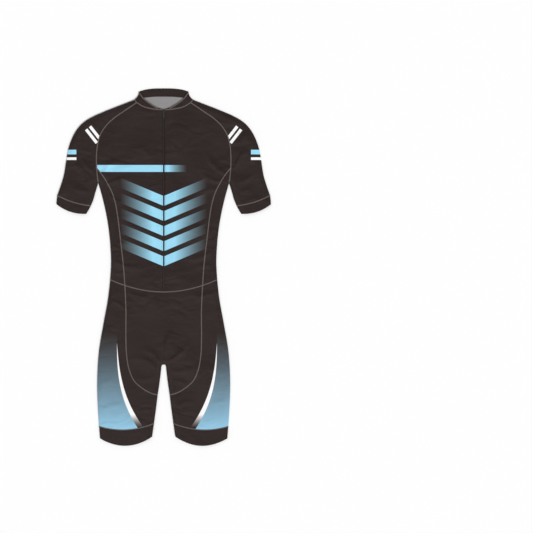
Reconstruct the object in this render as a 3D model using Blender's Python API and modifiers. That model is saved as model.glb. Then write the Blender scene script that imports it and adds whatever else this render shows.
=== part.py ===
"""Short-sleeved inline skating suit with short legs, laid flat on its back.

Metres, +Z up. The suit lies on the plane z = 0 with its front up, its collar towards +Y and the
wearer's left at +X. The origin is below the middle of the laid suit. Every piece of cloth is an
open outer skin with a Solidify wall. A seam is a gap between two pieces, which share the points of
the line that they meet along. Only the wearer's left half is drawn: the right one mirrors it.
"""

import math
from collections import namedtuple

import bpy
import numpy as np

# Sizes of the laid suit
LENGTH = 1.0885  # from the collar's top edge to the lowest point of the leg hems
TOP = LENGTH / 2  # the collar's top edge on the Y axis
WALL = 0.0010  # knitted cloth
BAND_WALL = 0.0013  # gripper bands, cuffs and collar, which are two layers of cloth
SEAM_GAP = 0.0003
EDGE_RISE = 0.0003  # how far a seam on the outline stands off the plane between the two layers
FOLD_RADIUS = 0.0028  # the outer radius of the fold along each side of the laid suit
LAY_HEIGHT = 0.0040  # the top of the front, away from the folds
SETTLE = 0.040  # how far from a fold the front has sunk to that height
ROLL = (45, 90)  # where a fold's quarter round has its columns, in degrees
SEAM_ROLL = (14, 45, 90)  # the same along a seam that lies on the outline

# The zip, from the neck seam down to the waist seam
ZIP_RIDGE = 0.0006  # how much the zip lifts the front
RIDGE_HALF = 0.014  # half the width that the zip lifts level
RIDGE_FALL = 0.020  # the width over which the lift fades
RIDGE_FADE = 0.060  # the length below the waist over which it fades
SLOT_HALF = 0.0022  # half the gap between the two fronts
TAPE_WIDTH = 0.0125
TAPE_TOP_DROP = 0.0634
CHAIN_WIDTH = 0.0038
CHAIN_HEIGHT = 0.0014
CHAIN_TOP_DROP = 0.0789
CHAIN_END_DROP = 0.6124
STOP_SIZE = (0.0044, 0.0030, 0.0018)
SLIDER_DROP = 0.0732  # the slider's middle
SLIDER_PLATE = (0.0078, 0.0100, 0.0010)
SLIDER_STEM = (0.0036, 0.0090)
BRIDGE_SIZE = (0.0014, 0.0052)
BRIDGE_WALL = 0.0006
PULL_EYE_RADIUS = 0.0010
PULL_WIDTH = 0.0054
PULL_LENGTH = 0.0240
PULL_THICKNESS = 0.0010
PULL_EYE = (0.0024, 0.0048)
PULL_RIM = 0.0010
PULL_DROOP = 3.2  # degrees that the pull slopes down to the zip

FOLLOW = 0.0040  # how far behind a seam's edge the net still moves with it
CURVE_POINTS = 400
MERGE = 0.00005

# A point of the laid outline: its distance from the centre line, and below the collar's top edge
At = namedtuple("At", "half drop")

NECK_POINT = At(0.0892, 0.0346)
COLLAR_CORNER = At(0.0753, 0.0096)
ARMPIT = At(0.1995, 0.2869)
SIDE_TIP = At(0.2044, 0.2424)  # where a side panel starts at the raglan seam
CUFF_OUTER = At(0.3242, 0.3262)
CUFF_INNER = At(0.2227, 0.3576)
WAIST_SIDE = At(0.1630, 0.5824)
WAIST_FRONT_SEAM = At(0.1183, 0.6004)
WAIST_BACK_SEAM = At(0.1383, 0.5854)
BAND_OUTER = At(0.1968, 1.0299)
BAND_INNER = At(0.0300, 1.0209)
CROTCH = At(0.0, 0.8414)
INSEAM_JOINT = At(0.0187, 0.9339)  # where the front and back panels end at the inner leg

SHOULDER_FOLD = (
    NECK_POINT,
    At(0.1257, 0.0489),
    At(0.1574, 0.0611),
    At(0.1873, 0.0733),
    At(0.2147, 0.0855),
    At(0.2361, 0.0977),
    At(0.2513, 0.1099),
    At(0.2660, 0.1274),
    At(0.2800, 0.1534),
    At(0.2904, 0.1831),
    At(0.2971, 0.2197),
    At(0.3053, 0.2685),
    At(0.3126, 0.2929),
    CUFF_OUTER,
)
CUFF_OUTER_FOLD = (CUFF_OUTER, At(0.3259, 0.3394), At(0.3268, 0.3530))
UNDERARM = (ARMPIT, At(0.2089, 0.3173), At(0.2159, 0.3417), CUFF_INNER)
CUFF_INNER_FOLD = (CUFF_INNER, At(0.2272, 0.3664), At(0.2367, 0.3823))
CUFF_SEAM_SAG = 0.0055
CUFF_HEM_SAG = 0.0090

RAGLAN_FRONT = (
    At(0.0824, 0.0435),
    At(0.1171, 0.0672),
    At(0.1505, 0.0899),
    At(0.1751, 0.1130),
    At(0.1920, 0.1384),
    At(0.2019, 0.1740),
    At(0.2047, 0.2045),
    SIDE_TIP,
)
RAGLAN_BACK = (
    At(0.0583, 0.0276),
    At(0.0714, 0.0379),
    At(0.1025, 0.0581),
    At(0.1308, 0.0764),
    At(0.1559, 0.0947),
    At(0.1763, 0.1130),
    At(0.1920, 0.1359),
    At(0.2019, 0.1679),
    At(0.2053, 0.2045),
    SIDE_TIP,
)
RAGLAN_UNDER = (SIDE_TIP, At(0.2021, 0.2654), ARMPIT)

FRONT_SIDE_SEAM = (
    SIDE_TIP,
    At(0.1861, 0.2655),
    At(0.1678, 0.2960),
    At(0.1562, 0.3204),
    At(0.1485, 0.3448),
    At(0.1397, 0.3936),
    At(0.1339, 0.4424),
    At(0.1281, 0.4912),
    At(0.1226, 0.5400),
    WAIST_FRONT_SEAM,
)
BACK_SIDE_SEAM = (
    SIDE_TIP,
    At(0.1895, 0.2614),
    At(0.1690, 0.2960),
    At(0.1589, 0.3204),
    At(0.1498, 0.3448),
    At(0.1382, 0.3936),
    At(0.1339, 0.4424),
    At(0.1320, 0.4824),
    At(0.1345, 0.5304),
    WAIST_BACK_SEAM,
)
FRONT_LEG_SEAM = (
    WAIST_FRONT_SEAM,
    At(0.1150, 0.6774),
    At(0.1150, 0.7626),
    At(0.1132, 0.8114),
    At(0.1043, 0.8602),
    At(0.0905, 0.8904),
    At(0.0705, 0.9097),
    At(0.0522, 0.9219),
    At(0.0339, 0.9301),
    INSEAM_JOINT,
)
BACK_HIP_SEAM = (WAIST_BACK_SEAM, At(0.1430, 0.6132), At(0.1495, 0.6712), At(0.1501, 0.7233))
BACK_SEAT_SEAM = (
    At(0.1501, 0.7233),
    At(0.1498, 0.7687),
    At(0.1403, 0.8175),
    At(0.1174, 0.8663),
    At(0.0979, 0.8907),
    At(0.0662, 0.9151),
    At(0.0400, 0.9269),
    INSEAM_JOINT,
)

BODY_FOLD = (
    ARMPIT,
    At(0.1845, 0.3417),
    At(0.1696, 0.4149),
    At(0.1622, 0.4844),
    At(0.1604, 0.5324),
    WAIST_SIDE,
)
LEG_FOLD = (
    WAIST_SIDE,
    At(0.1687, 0.6345),
    At(0.1833, 0.7169),
    At(0.1970, 0.7992),
    At(0.2024, 0.8846),
    At(0.1992, 0.9929),
    BAND_OUTER,
)
BAND_OUTER_FOLD = (BAND_OUTER, At(0.1940, 1.0664))
CROTCH_FOLD = (
    CROTCH,
    At(0.0052, 0.8426),
    At(0.0073, 0.8474),
    At(0.0087, 0.8602),
    At(0.0149, 0.9090),
    INSEAM_JOINT,
)
INNER_LEG_FOLD = (INSEAM_JOINT, At(0.0247, 0.9822), BAND_INNER)
BAND_INNER_FOLD = (BAND_INNER, At(0.0358, 1.0614))
BAND_SEAM_SAG = 0.0150
BAND_HEM_SAG = 0.0252
FRONT_WAIST_SAG = 0.0199
BACK_WAIST_SAG = 0.0205
YOKE_RISE = 0.0240

COLLAR_SEAM_FRONT = (
    At(SLOT_HALF, 0.0652),
    At(0.0247, 0.0636),
    At(0.0430, 0.0606),
    At(0.0613, 0.0556),
    At(0.0824, 0.0435),
)
COLLAR_SEAM_SIDE = (At(0.0824, 0.0435), NECK_POINT)
COLLAR_SEAM_BACK = (At(0.0, 0.0242), At(0.0300, 0.0250), At(0.0583, 0.0276))
COLLAR_SEAM_BACK_SIDE = (At(0.0583, 0.0276), NECK_POINT)
COLLAR_OPENING = (
    At(SLOT_HALF, 0.0629),
    At(0.0100, 0.0614),
    At(0.0188, 0.0581),
    At(0.0349, 0.0489),
    At(0.0439, 0.0428),
    At(0.0595, 0.0304),
    COLLAR_CORNER,
)
COLLAR_FOLD = (NECK_POINT, At(0.0800, 0.0244), At(0.0768, 0.0174), COLLAR_CORNER)
COLLAR_TOP_BACK = (At(0.0, 0.0), At(0.0340, 0.0009), At(0.0620, 0.0052), COLLAR_CORNER)

# How many stretches each line is cut into
RAGLAN_CUTS = 9
UNDER_CUTS = 2
SIDE_CUTS = 9
UNDERARM_CUTS = 4
NECK_CUTS = 5
SIDE_NECK_CUTS = 1
PANEL_CUTS = 5
LEG_SEAM_CUTS = 12
HIP_CUTS = 4
SEAT_CUTS = 8
INNER_LEG_CUTS = 4
BAND_CUTS = 2
COLLAR_CUTS = 2
CROTCH_SHARES = (0.0, 0.04, 0.08, 0.13, 0.25, 0.50, 0.75, 1.0)  # of its length

# Colours of the printed knit, as the screen shows them
BLACK_BROWN = (52, 44, 42)
SKY_BLUE = (160, 216, 243)
SLATE_BLUE = (96, 120, 134)
ZIP_BLACK = (38, 36, 38)
GUNMETAL = (70, 72, 76)


# Lines of the outline


def points_of(rows):
    """The rows of a table as X and Y."""
    return np.array([(row.half, TOP - row.drop) for row in rows])


def reach(line):
    """The distance along a line of points to each of them."""
    steps = np.linalg.norm(np.diff(line, axis=0), axis=1)
    return np.concatenate([[0.0], np.cumsum(steps)])


def smooth(rows):
    """A smooth line through the rows of a table: a cubic Hermite curve, closely spaced."""
    knots = points_of(rows)
    at_knots = reach(knots)
    slopes = np.gradient(knots, at_knots, axis=0)
    at = np.linspace(0, at_knots[-1], CURVE_POINTS)
    span = np.clip(np.searchsorted(at_knots, at, side="right") - 1, 0, len(knots) - 2)
    width = np.diff(at_knots)[span][:, None]
    t = (at - at_knots[span])[:, None] / width
    here = (1 + 2 * t) * (1 - t) ** 2 * knots[span] + t * (1 - t) ** 2 * width * slopes[span]
    there = t**2 * (3 - 2 * t) * knots[span + 1] - t**2 * (1 - t) * width * slopes[span + 1]
    return here + there


def sagging(start, end, sag):
    """A parabola between two points of the outline that sags by so much towards the hem."""
    ends = points_of((start, end))
    t = np.linspace(0, 1, CURVE_POINTS)[:, None]
    line = ends[0] * (1 - t) + ends[1] * t
    along = ends[1] - ends[0]
    away = np.array([along[1], -along[0]]) / np.linalg.norm(along)
    if away[1] > 0:
        away = -away
    return line + 4 * t * (1 - t) * sag * away


def waist(half, sag, seam):
    """A waist seam, from the centre line out to a side: it is lowest at the centre."""
    t = np.linspace(0, 1, CURVE_POINTS)
    low = seam.drop + sag * 1.0
    x = half + t * (seam.half - half)
    drop = low - sag * (x / seam.half) ** 2
    return np.column_stack([x, TOP - drop])


def sample(line, fractions):
    """Points of a line at these fractions of its length."""
    along = reach(line)
    at = np.asarray(fractions) * along[-1]
    return np.column_stack([np.interp(at, along, line[:, axis]) for axis in (0, 1)])


def roll_shares(line, angles):
    """Shares of a line's length at which a fold's quarter round has its columns."""
    steps = [FOLD_RADIUS * (1 - math.cos(math.radians(angle))) for angle in angles]
    return [step / reach(line)[-1] for step in steps]


def cuts(line, count, start=(), end=()):
    """Fractions that cut a line evenly, with closer ones at an end that meets a fold."""
    first = [0.0, *roll_shares(line, start)]
    last = [*(1 - share for share in reversed(roll_shares(line, end))), 1.0]
    middle = np.linspace(first[-1], last[0], count + 1)
    return np.concatenate([first[:-1], middle, last[1:]])


def cut(line, count, **rolls):
    """The points at those fractions."""
    return sample(line, cuts(line, count, **rolls))


def chain(*stretches):
    """Stretches that follow on, as one row of points."""
    return np.concatenate([stretches[0], *(stretch[1:] for stretch in stretches[1:])])


# The two layers of the laid suit


def fold_lines():
    """The lines along which the suit's outline is a fold, on the wearer's left."""
    tables = (
        COLLAR_FOLD,
        SHOULDER_FOLD,
        CUFF_OUTER_FOLD,
        CUFF_INNER_FOLD,
        UNDERARM,
        BODY_FOLD,
        LEG_FOLD,
        BAND_OUTER_FOLD,
        CROTCH_FOLD,
        INNER_LEG_FOLD,
        BAND_INNER_FOLD,
    )
    return [smooth(table) for table in tables]


FOLD_STARTS = np.concatenate([line[:-1] for line in fold_lines()])
FOLD_STEPS = np.concatenate([np.diff(line, axis=0) for line in fold_lines()])


def fold_distance(points):
    """How far each point lies in from the nearest fold."""
    away = points[:, None] - FOLD_STARTS[None]
    share = (away * FOLD_STEPS).sum(2) / np.maximum((FOLD_STEPS**2).sum(1), 1e-18)
    nearest = away - np.clip(share, 0, 1)[:, :, None] * FOLD_STEPS
    return np.sqrt((nearest**2).sum(2).min(1))


def ease(share):
    """0 below 0, 1 above 1 and a smooth step between."""
    share = np.clip(share, 0, 1)
    return share * share * (3 - 2 * share)


def zip_lift(points):
    """How much the zip lifts the front at each point."""
    across = 1 - ease((np.abs(points[:, 0]) - RIDGE_HALF) / RIDGE_FALL)
    below = points_of((WAIST_FRONT_SEAM,))[0, 1] - FRONT_WAIST_SAG - points[:, 1]
    return ZIP_RIDGE * across * (1 - ease(below / RIDGE_FADE))


def skin_height(points, side):
    """The outer skin's height: side is 1 on the front, -1 on the back and 0 on a fold's line."""
    depth = fold_distance(points)
    short = np.maximum(0, FOLD_RADIUS - depth)
    rise = np.maximum(EDGE_RISE, np.sqrt(np.maximum(0, FOLD_RADIUS**2 - short**2)))
    sunk = (2 * FOLD_RADIUS - LAY_HEIGHT) * ease((depth - FOLD_RADIUS) / SETTLE)
    over = FOLD_RADIUS + rise - sunk + zip_lift(points)
    return np.select([side > 0, side < 0], [over, FOLD_RADIUS - rise], FOLD_RADIUS)


# Patches of cloth


def patch(left, right, top, bottom, count, **rolls):
    """A net of points between four lines of the outline.

    left and right are rows of points, one for each row of the net. top and bottom run from left
    to right, and the net's first and last rows follow them.
    """
    shares = (reach(left) / reach(left)[-1] + reach(right) / reach(right)[-1]) / 2
    rows = []
    for start, end, share in zip(left, right, shares):
        ends = np.array([start, end])
        fractions = cuts(ends, count, **rolls)
        row = start + fractions[:, None] * (end - start)
        for line, weight in ((top, 1 - share), (bottom, share)):
            chord = line[0] + fractions[:, None] * (line[-1] - line[0])
            row = row + weight * (sample(line, fractions) - chord)
        rows.append(row)
    rows[0] = cut(top, count, **rolls)
    rows[-1] = cut(bottom, count, **rolls)
    return np.array(rows)


def from_edge(net, edge):
    """A net turned so that this edge is its first row."""
    return {
        "top": net,
        "bottom": net[::-1],
        "left": net.swapaxes(0, 1),
        "right": net.swapaxes(0, 1)[::-1],
    }[edge]


def inset(net, edge, share=None):
    """Draws one edge of a net in by half a seam's gap. share says how much of it, point by point.

    Every point slides along its own line of the net, so that what lies on a fold stays there.
    Those close behind the edge follow it, less and less with their distance from it.
    """
    turned = from_edge(net, edge)
    steps = np.diff(turned, axis=0)
    lengths = np.linalg.norm(steps, axis=2)
    inward = steps / lengths[:, :, None]
    inward = np.concatenate([inward, inward[-1:]])
    along = np.gradient(turned[0], axis=0)
    along /= np.linalg.norm(along, axis=1)[:, None]
    slant = np.abs(along[:, 0] * inward[0, :, 1] - along[:, 1] * inward[0, :, 0])
    amount = SEAM_GAP / 2 / np.maximum(slant, 0.3)
    if share is not None:
        amount = amount * share
    away = np.concatenate([np.zeros((1, len(along))), np.cumsum(lengths, axis=0)])
    turned += inward * (amount * np.maximum(0, 1 - away / FOLLOW))[:, :, None]


def square_roll(net, edge, angles, which=slice(1, -1)):
    """Sets the columns of a fold's quarter round square to the fold, in the rows between."""
    turned = from_edge(net, edge)
    along = np.gradient(turned[0], axis=0)[which]
    along /= np.linalg.norm(along, axis=1)[:, None]
    inward = np.column_stack([-along[:, 1], along[:, 0]])
    beyond = turned[len(angles) + 1, which] - turned[0, which]
    inward *= np.sign((inward * beyond).sum(1))[:, None]
    for column, angle in enumerate(angles, start=1):
        depth = FOLD_RADIUS * (1 - math.cos(math.radians(angle)))
        turned[column, which] = turned[0, which] + depth * inward


def side_flags(net, side):
    """The side of each point of a net that lies all on the front or all on the back."""
    return np.full(net.shape[:2], side)


def wrapped(front, back):
    """Two nets that meet along a fold as one. The fold is each one's last column."""
    net = np.concatenate([front, back[:, -2::-1]], axis=1)
    sides = np.concatenate([side_flags(front, 1), side_flags(back[:, :-1], -1)], axis=1)
    sides[:, front.shape[1] - 1] = 0
    return net, sides


# Blender objects


def linear(colour):
    """A screen colour as the linear one that a material takes."""
    shares = [value / 255 for value in colour]
    return [s / 12.92 if s <= 0.04045 else ((s + 0.055) / 1.055) ** 2.4 for s in shares]


def material(name, colour, roughness, metallic=0.0):
    made = bpy.data.materials.new(name)
    made.use_nodes = True
    shader = made.node_tree.nodes["Principled BSDF"]
    shader.inputs["Base Color"].default_value = (*linear(colour), 1.0)
    shader.inputs["Roughness"].default_value = roughness
    shader.inputs["Metallic"].default_value = metallic
    return made


def add(name, mesh, collection, finish):
    """A new object of this mesh."""
    made = bpy.data.objects.new(name, mesh)
    collection.objects.link(made)
    mesh.materials.clear()
    mesh.materials.append(finish)
    return made


def skin_mesh(name, net, sides, mirrored=False):
    """The outer skin of a net as an open mesh whose faces point out of the suit."""
    rows, columns = net.shape[:2]
    flat = net.reshape(-1, 2)
    heights = skin_height(flat, sides.reshape(-1))
    if mirrored:
        flat = flat * (-1, 1)
    corners = np.column_stack([flat, heights])
    index = np.arange(rows * columns).reshape(rows, columns)
    quads = np.stack([index[:-1, :-1], index[1:, :-1], index[1:, 1:], index[:-1, 1:]], axis=2)
    quads = quads.reshape(-1, 4)
    first, second, third = (flat[quads[:, corner]] for corner in range(3))
    turn = np.cross(second - first, third - second)
    if (turn * sides.reshape(-1)[quads].sum(1)).sum() < 0:
        quads = quads[:, ::-1]
    mesh = bpy.data.meshes.new(name)
    mesh.from_pydata(corners.tolist(), [], quads.tolist())
    mesh.shade_smooth()
    return mesh


def thicken(piece, wall):
    """Gives the skin its wall, which goes in from it."""
    shell = piece.modifiers.new("wall", "SOLIDIFY")
    shell.thickness = wall
    shell.offset = -1
    shell.use_even_offset = False
    shell.use_quality_normals = True


def cloth_pair(name, net, sides, collection, finish, wall=WALL):
    """The same piece on the wearer's left and right."""
    for end, mirrored in (("left", False), ("right", True)):
        mesh = skin_mesh(f"{name}_{end}", net, sides, mirrored)
        thicken(add(f"{name}_{end}", mesh, collection, finish), wall)


def cloth_whole(name, net, sides, collection, finish, wall=WALL):
    """One piece across the centre line: its left half mirrored and then thickened."""
    piece = add(name, skin_mesh(name, net, sides), collection, finish)
    mirror = piece.modifiers.new("other half", "MIRROR")
    mirror.use_axis = (True, False, False)
    mirror.use_clip = True
    mirror.merge_threshold = MERGE
    thicken(piece, wall)


def block(name, size, middle, collection, finish, bevel=0.0):
    """A block of this size, with its scale applied before its edges are rounded."""
    bpy.ops.mesh.primitive_cube_add(size=1, location=middle)
    made = bpy.context.object
    made.name = name
    made.scale = size
    bpy.ops.object.transform_apply(location=False, rotation=False, scale=True)
    for holder in made.users_collection:
        holder.objects.unlink(made)
    collection.objects.link(made)
    made.data.materials.append(finish)
    if bevel:
        round_edges(made, bevel)
    return made


def round_edges(piece, width):
    edge = piece.modifiers.new("rounded edges", "BEVEL")
    edge.width = width
    edge.segments = 2
    edge.limit_method = "ANGLE"


def combine(piece, other, operation):
    """Joins or cuts a piece with a helper that isn't rendered."""
    change = piece.modifiers.new(operation.lower(), "BOOLEAN")
    change.operation = operation
    change.object = other
    other.hide_render = True
    other.display_type = "WIRE"


# Lines that two pieces share

front_waist = waist(SLOT_HALF, FRONT_WAIST_SAG, WAIST_FRONT_SEAM)
front_waist_whole = waist(0.0, FRONT_WAIST_SAG, WAIST_FRONT_SEAM)
back_waist = waist(0.0, BACK_WAIST_SAG, WAIST_BACK_SEAM)
front_waist_side = sagging(WAIST_FRONT_SEAM, WAIST_SIDE, 0.0010)
back_waist_side = sagging(WAIST_BACK_SEAM, WAIST_SIDE, 0.0)

raglan_front = cut(smooth(RAGLAN_FRONT), RAGLAN_CUTS)
raglan_back = cut(smooth(RAGLAN_BACK), RAGLAN_CUTS)
raglan_under = cut(smooth(RAGLAN_UNDER), UNDER_CUTS, end=ROLL)
side_seam_front = cut(smooth(FRONT_SIDE_SEAM), SIDE_CUTS)
side_seam_back = cut(smooth(BACK_SIDE_SEAM), SIDE_CUTS)
leg_seam_front = cut(smooth(FRONT_LEG_SEAM), LEG_SEAM_CUTS, end=SEAM_ROLL)
leg_seam_hip = cut(smooth(BACK_HIP_SEAM), HIP_CUTS)
leg_seam_seat = cut(smooth(BACK_SEAT_SEAM), SEAT_CUTS, end=SEAM_ROLL)
inner_leg = cut(smooth(INNER_LEG_FOLD), INNER_LEG_CUTS)
crotch = smooth(CROTCH_FOLD)
cuff_seam = sagging(CUFF_INNER, CUFF_OUTER, CUFF_SEAM_SAG)
band_seam = sagging(BAND_INNER, BAND_OUTER, BAND_SEAM_SAG)


def matched(line, other):
    """Points of a line at the same shares of its length as another row of points has."""
    return sample(line, reach(other) / reach(other)[-1])


# The pieces of cloth


def fronts(collection, finish):
    """The two upper fronts, from the zip out to the raglan and side seams."""
    outer = chain(raglan_front, side_seam_front)
    neck = smooth(COLLAR_SEAM_FRONT)
    zip_edge = matched(np.array([neck[0], front_waist[0]]), outer)
    net = patch(zip_edge, outer, neck, front_waist, NECK_CUTS)
    for edge in ("top", "bottom", "right"):
        inset(net, edge)
    cloth_pair("front", net, side_flags(net, 1), collection, finish)


def back_upper(collection, finish):
    """The upper back, in one piece between the raglan and side seams."""
    outer = chain(raglan_back, side_seam_back)
    neck = smooth(COLLAR_SEAM_BACK)
    centre = matched(np.array([neck[0], back_waist[0]]), outer)
    net = patch(centre, outer, neck, back_waist, NECK_CUTS)
    for edge in ("top", "bottom", "right"):
        inset(net, edge)
    net[:, 0, 0] = 0
    cloth_whole("back_upper", net, side_flags(net, -1), collection, finish)


def side_panels(collection, finish):
    """The panels under the arms, which wrap round the side folds."""
    halves = []
    for seam, across in ((side_seam_front, front_waist_side), (side_seam_back, back_waist_side)):
        fold = matched(smooth(BODY_FOLD), seam)
        half = patch(seam, fold, smooth(RAGLAN_UNDER), across, UNDER_CUTS, end=ROLL)
        square_roll(half, "right", ROLL)
        for edge in ("top", "bottom", "left"):
            inset(half, edge)
        halves.append(half)
    net, sides = wrapped(*halves)
    cloth_pair("side_panel", net, sides, collection, finish)


def sleeve_half(raglan, neck):
    """One layer of a sleeve, from its raglan seam and underarm out to the shoulder fold."""
    underarm = cut(smooth(UNDERARM), UNDERARM_CUTS)
    inner = chain(raglan, raglan_under, underarm)
    outer = matched(smooth(SHOULDER_FOLD), inner)
    net = patch(inner, outer, neck, cuff_seam, PANEL_CUTS, start=SEAM_ROLL, end=ROLL)
    square_roll(net, "right", ROLL)
    square_roll(net, "left", SEAM_ROLL, slice(-UNDERARM_CUTS, -1))
    sewn = np.ones(len(inner))
    sewn[-UNDERARM_CUTS:] = 0
    for edge, share in (("top", None), ("bottom", None), ("left", sewn)):
        inset(net, edge, share)
    return net


def sleeves(collection, finish):
    """The raglan sleeves, each cut in one piece with its seam under the arm."""
    front = sleeve_half(raglan_front, smooth(COLLAR_SEAM_SIDE))
    back = sleeve_half(raglan_back, smooth(COLLAR_SEAM_BACK_SIDE))
    net, sides = wrapped(front, back)
    cloth_pair("sleeve", net, sides, collection, finish)


def end_bands(name, inner_rows, outer_rows, seam, hem_sag, collection, finish):
    """The bands that end the sleeves and the legs, each a flattened ring."""
    inner = cut(smooth(inner_rows), BAND_CUTS)
    outer = cut(smooth(outer_rows), BAND_CUTS)
    hem = sagging(inner_rows[-1], outer_rows[-1], hem_sag)
    half = patch(inner, outer, seam, hem, PANEL_CUTS, start=SEAM_ROLL, end=ROLL)
    square_roll(half, "right", ROLL)
    square_roll(half, "left", SEAM_ROLL)
    inset(half, "top")
    net, sides = wrapped(half, half.copy())
    cloth_pair(name, net, sides, collection, finish, BAND_WALL)


def collar(collection, finish):
    """The stand collar, folded flat at both sides of the neck and open at the front."""
    neck_side = cut(smooth(COLLAR_SEAM_SIDE), SIDE_NECK_CUTS, end=ROLL)
    base_front = chain(cut(smooth(COLLAR_SEAM_FRONT), NECK_CUTS), neck_side)
    edge_front = cut(smooth(COLLAR_OPENING), NECK_CUTS + SIDE_NECK_CUTS, end=ROLL)
    neck_back = cut(smooth(COLLAR_SEAM_BACK_SIDE), UNDER_CUTS, end=ROLL)
    base_back = chain(cut(smooth(COLLAR_SEAM_BACK), NECK_CUTS), neck_back)
    edge_back = cut(smooth(COLLAR_TOP_BACK), NECK_CUTS + UNDER_CUTS, end=ROLL)
    fold = smooth(COLLAR_FOLD)
    layers = []
    for base, edge in ((base_front, edge_front), (base_back, edge_back)):
        start = np.array([base[0], edge[0]])
        layer = patch(base, edge, start, fold, COLLAR_CUTS)
        inset(layer, "left")
        layers.append(layer.swapaxes(0, 1))
    net, sides = wrapped(*layers)
    net[:, -1, 0] = 0
    cloth_whole("collar", net, sides, collection, finish, BAND_WALL)


def front_lower(collection, finish):
    """The lower front, from the waist seam to the crotch and a little way down both thighs."""
    top = cut(front_waist_whole, len(CROTCH_SHARES) - 1)
    arch = sample(crotch, CROTCH_SHARES)
    centre = np.array([top[0], crotch[0]])
    net = patch(top, arch, centre, smooth(FRONT_LEG_SEAM), LEG_SEAM_CUTS, end=SEAM_ROLL)
    square_roll(net, "right", SEAM_ROLL)
    inset(net, "left")
    inset(net, "bottom")
    net[0, :, 0] = 0
    cloth_whole("front_lower", net, side_flags(net, 1), collection, finish)


def back_lower(collection, finish):
    """The strip of the back between the waist seam and the seat's yoke seam."""
    outer = leg_seam_hip
    yoke = waist(0.0, -YOKE_RISE, BACK_HIP_SEAM[-1])
    centre = matched(np.array([back_waist[0], yoke[0]]), outer)
    net = patch(centre, outer, back_waist, yoke, NECK_CUTS)
    for edge in ("top", "bottom", "right"):
        inset(net, edge)
    net[:, 0, 0] = 0
    cloth_whole("back_lower", net, side_flags(net, -1), collection, finish)


def seats(collection, finish):
    """The two halves of the seat, with a seam down the middle."""
    yoke = cut(waist(0.0, -YOKE_RISE, BACK_HIP_SEAM[-1]), len(CROTCH_SHARES) - 1)
    arch = sample(crotch, CROTCH_SHARES)
    centre = np.array([yoke[0], crotch[0]])
    net = patch(yoke, arch, centre, smooth(BACK_SEAT_SEAM), SEAT_CUTS, end=SEAM_ROLL)
    square_roll(net, "right", SEAM_ROLL)
    for edge in ("left", "top", "bottom"):
        inset(net, edge)
    cloth_pair("seat", net, side_flags(net, -1), collection, finish)


def leg_half(seam, across):
    """One layer of a leg panel, from its seam and the inner leg out to the side fold."""
    inner = chain(seam, inner_leg)
    outer = matched(smooth(LEG_FOLD), inner)
    net = patch(inner, outer, across, band_seam, PANEL_CUTS, start=SEAM_ROLL, end=ROLL)
    square_roll(net, "right", ROLL)
    square_roll(net, "left", SEAM_ROLL, slice(-INNER_LEG_CUTS, -1))
    sewn = np.ones(len(inner))
    sewn[-INNER_LEG_CUTS:] = 0
    for edge, share in (("top", None), ("bottom", None), ("left", sewn)):
        inset(net, edge, share)
    return net


def legs(collection, finish):
    """The outer leg panels, which wrap round the side fold and close at the inner leg."""
    front = leg_half(leg_seam_front, front_waist_side)
    back = leg_half(chain(leg_seam_hip, leg_seam_seat), back_waist_side)
    net, sides = wrapped(front, back)
    cloth_pair("leg_panel", net, sides, collection, finish)


# The zip


def zip_fastener(collection, cutters, tape_finish, teeth_finish, metal):
    """A coil zip: two tapes under the fronts' edges, the closed chain, its stop and slider."""
    cloth_top = LAY_HEIGHT + ZIP_RIDGE
    tape_top = cloth_top - BAND_WALL - SEAM_GAP
    end_drop = front_waist_drop() - SEAM_GAP
    for end, sign in (("left", 1), ("right", -1)):
        length = end_drop - TAPE_TOP_DROP
        size = (TAPE_WIDTH, length, WALL)
        middle = (
            sign * (TAPE_WIDTH + SEAM_GAP) / 2,
            TOP - TAPE_TOP_DROP - length / 2,
            tape_top - WALL / 2,
        )
        block(f"zip_tape_{end}", size, middle, collection, tape_finish)
    base = tape_top + SEAM_GAP
    length = CHAIN_END_DROP - CHAIN_TOP_DROP
    middle = (0, TOP - CHAIN_TOP_DROP - length / 2, base + CHAIN_HEIGHT / 2)
    size = (CHAIN_WIDTH, length, CHAIN_HEIGHT)
    block("zip_chain", size, middle, collection, teeth_finish, bevel=0.0004)
    stop_y = TOP - CHAIN_END_DROP - SEAM_GAP - STOP_SIZE[1] / 2
    middle = (0, stop_y, base + STOP_SIZE[2] / 2)
    narrow = (min(STOP_SIZE[0], 2 * (SLOT_HALF - SEAM_GAP)), *STOP_SIZE[1:])
    block("zip_stop", narrow, middle, collection, metal, bevel=0.0003)
    slider(base, cloth_top, collection, cutters, metal)


def front_waist_drop():
    """How far down the waist seam crosses the centre line."""
    return WAIST_FRONT_SEAM.drop + FRONT_WAIST_SAG


def pull_axis_height(cloth_top):
    return cloth_top + SEAM_GAP + SLIDER_PLATE[2] + SEAM_GAP / 2 + PULL_EYE_RADIUS


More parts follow.
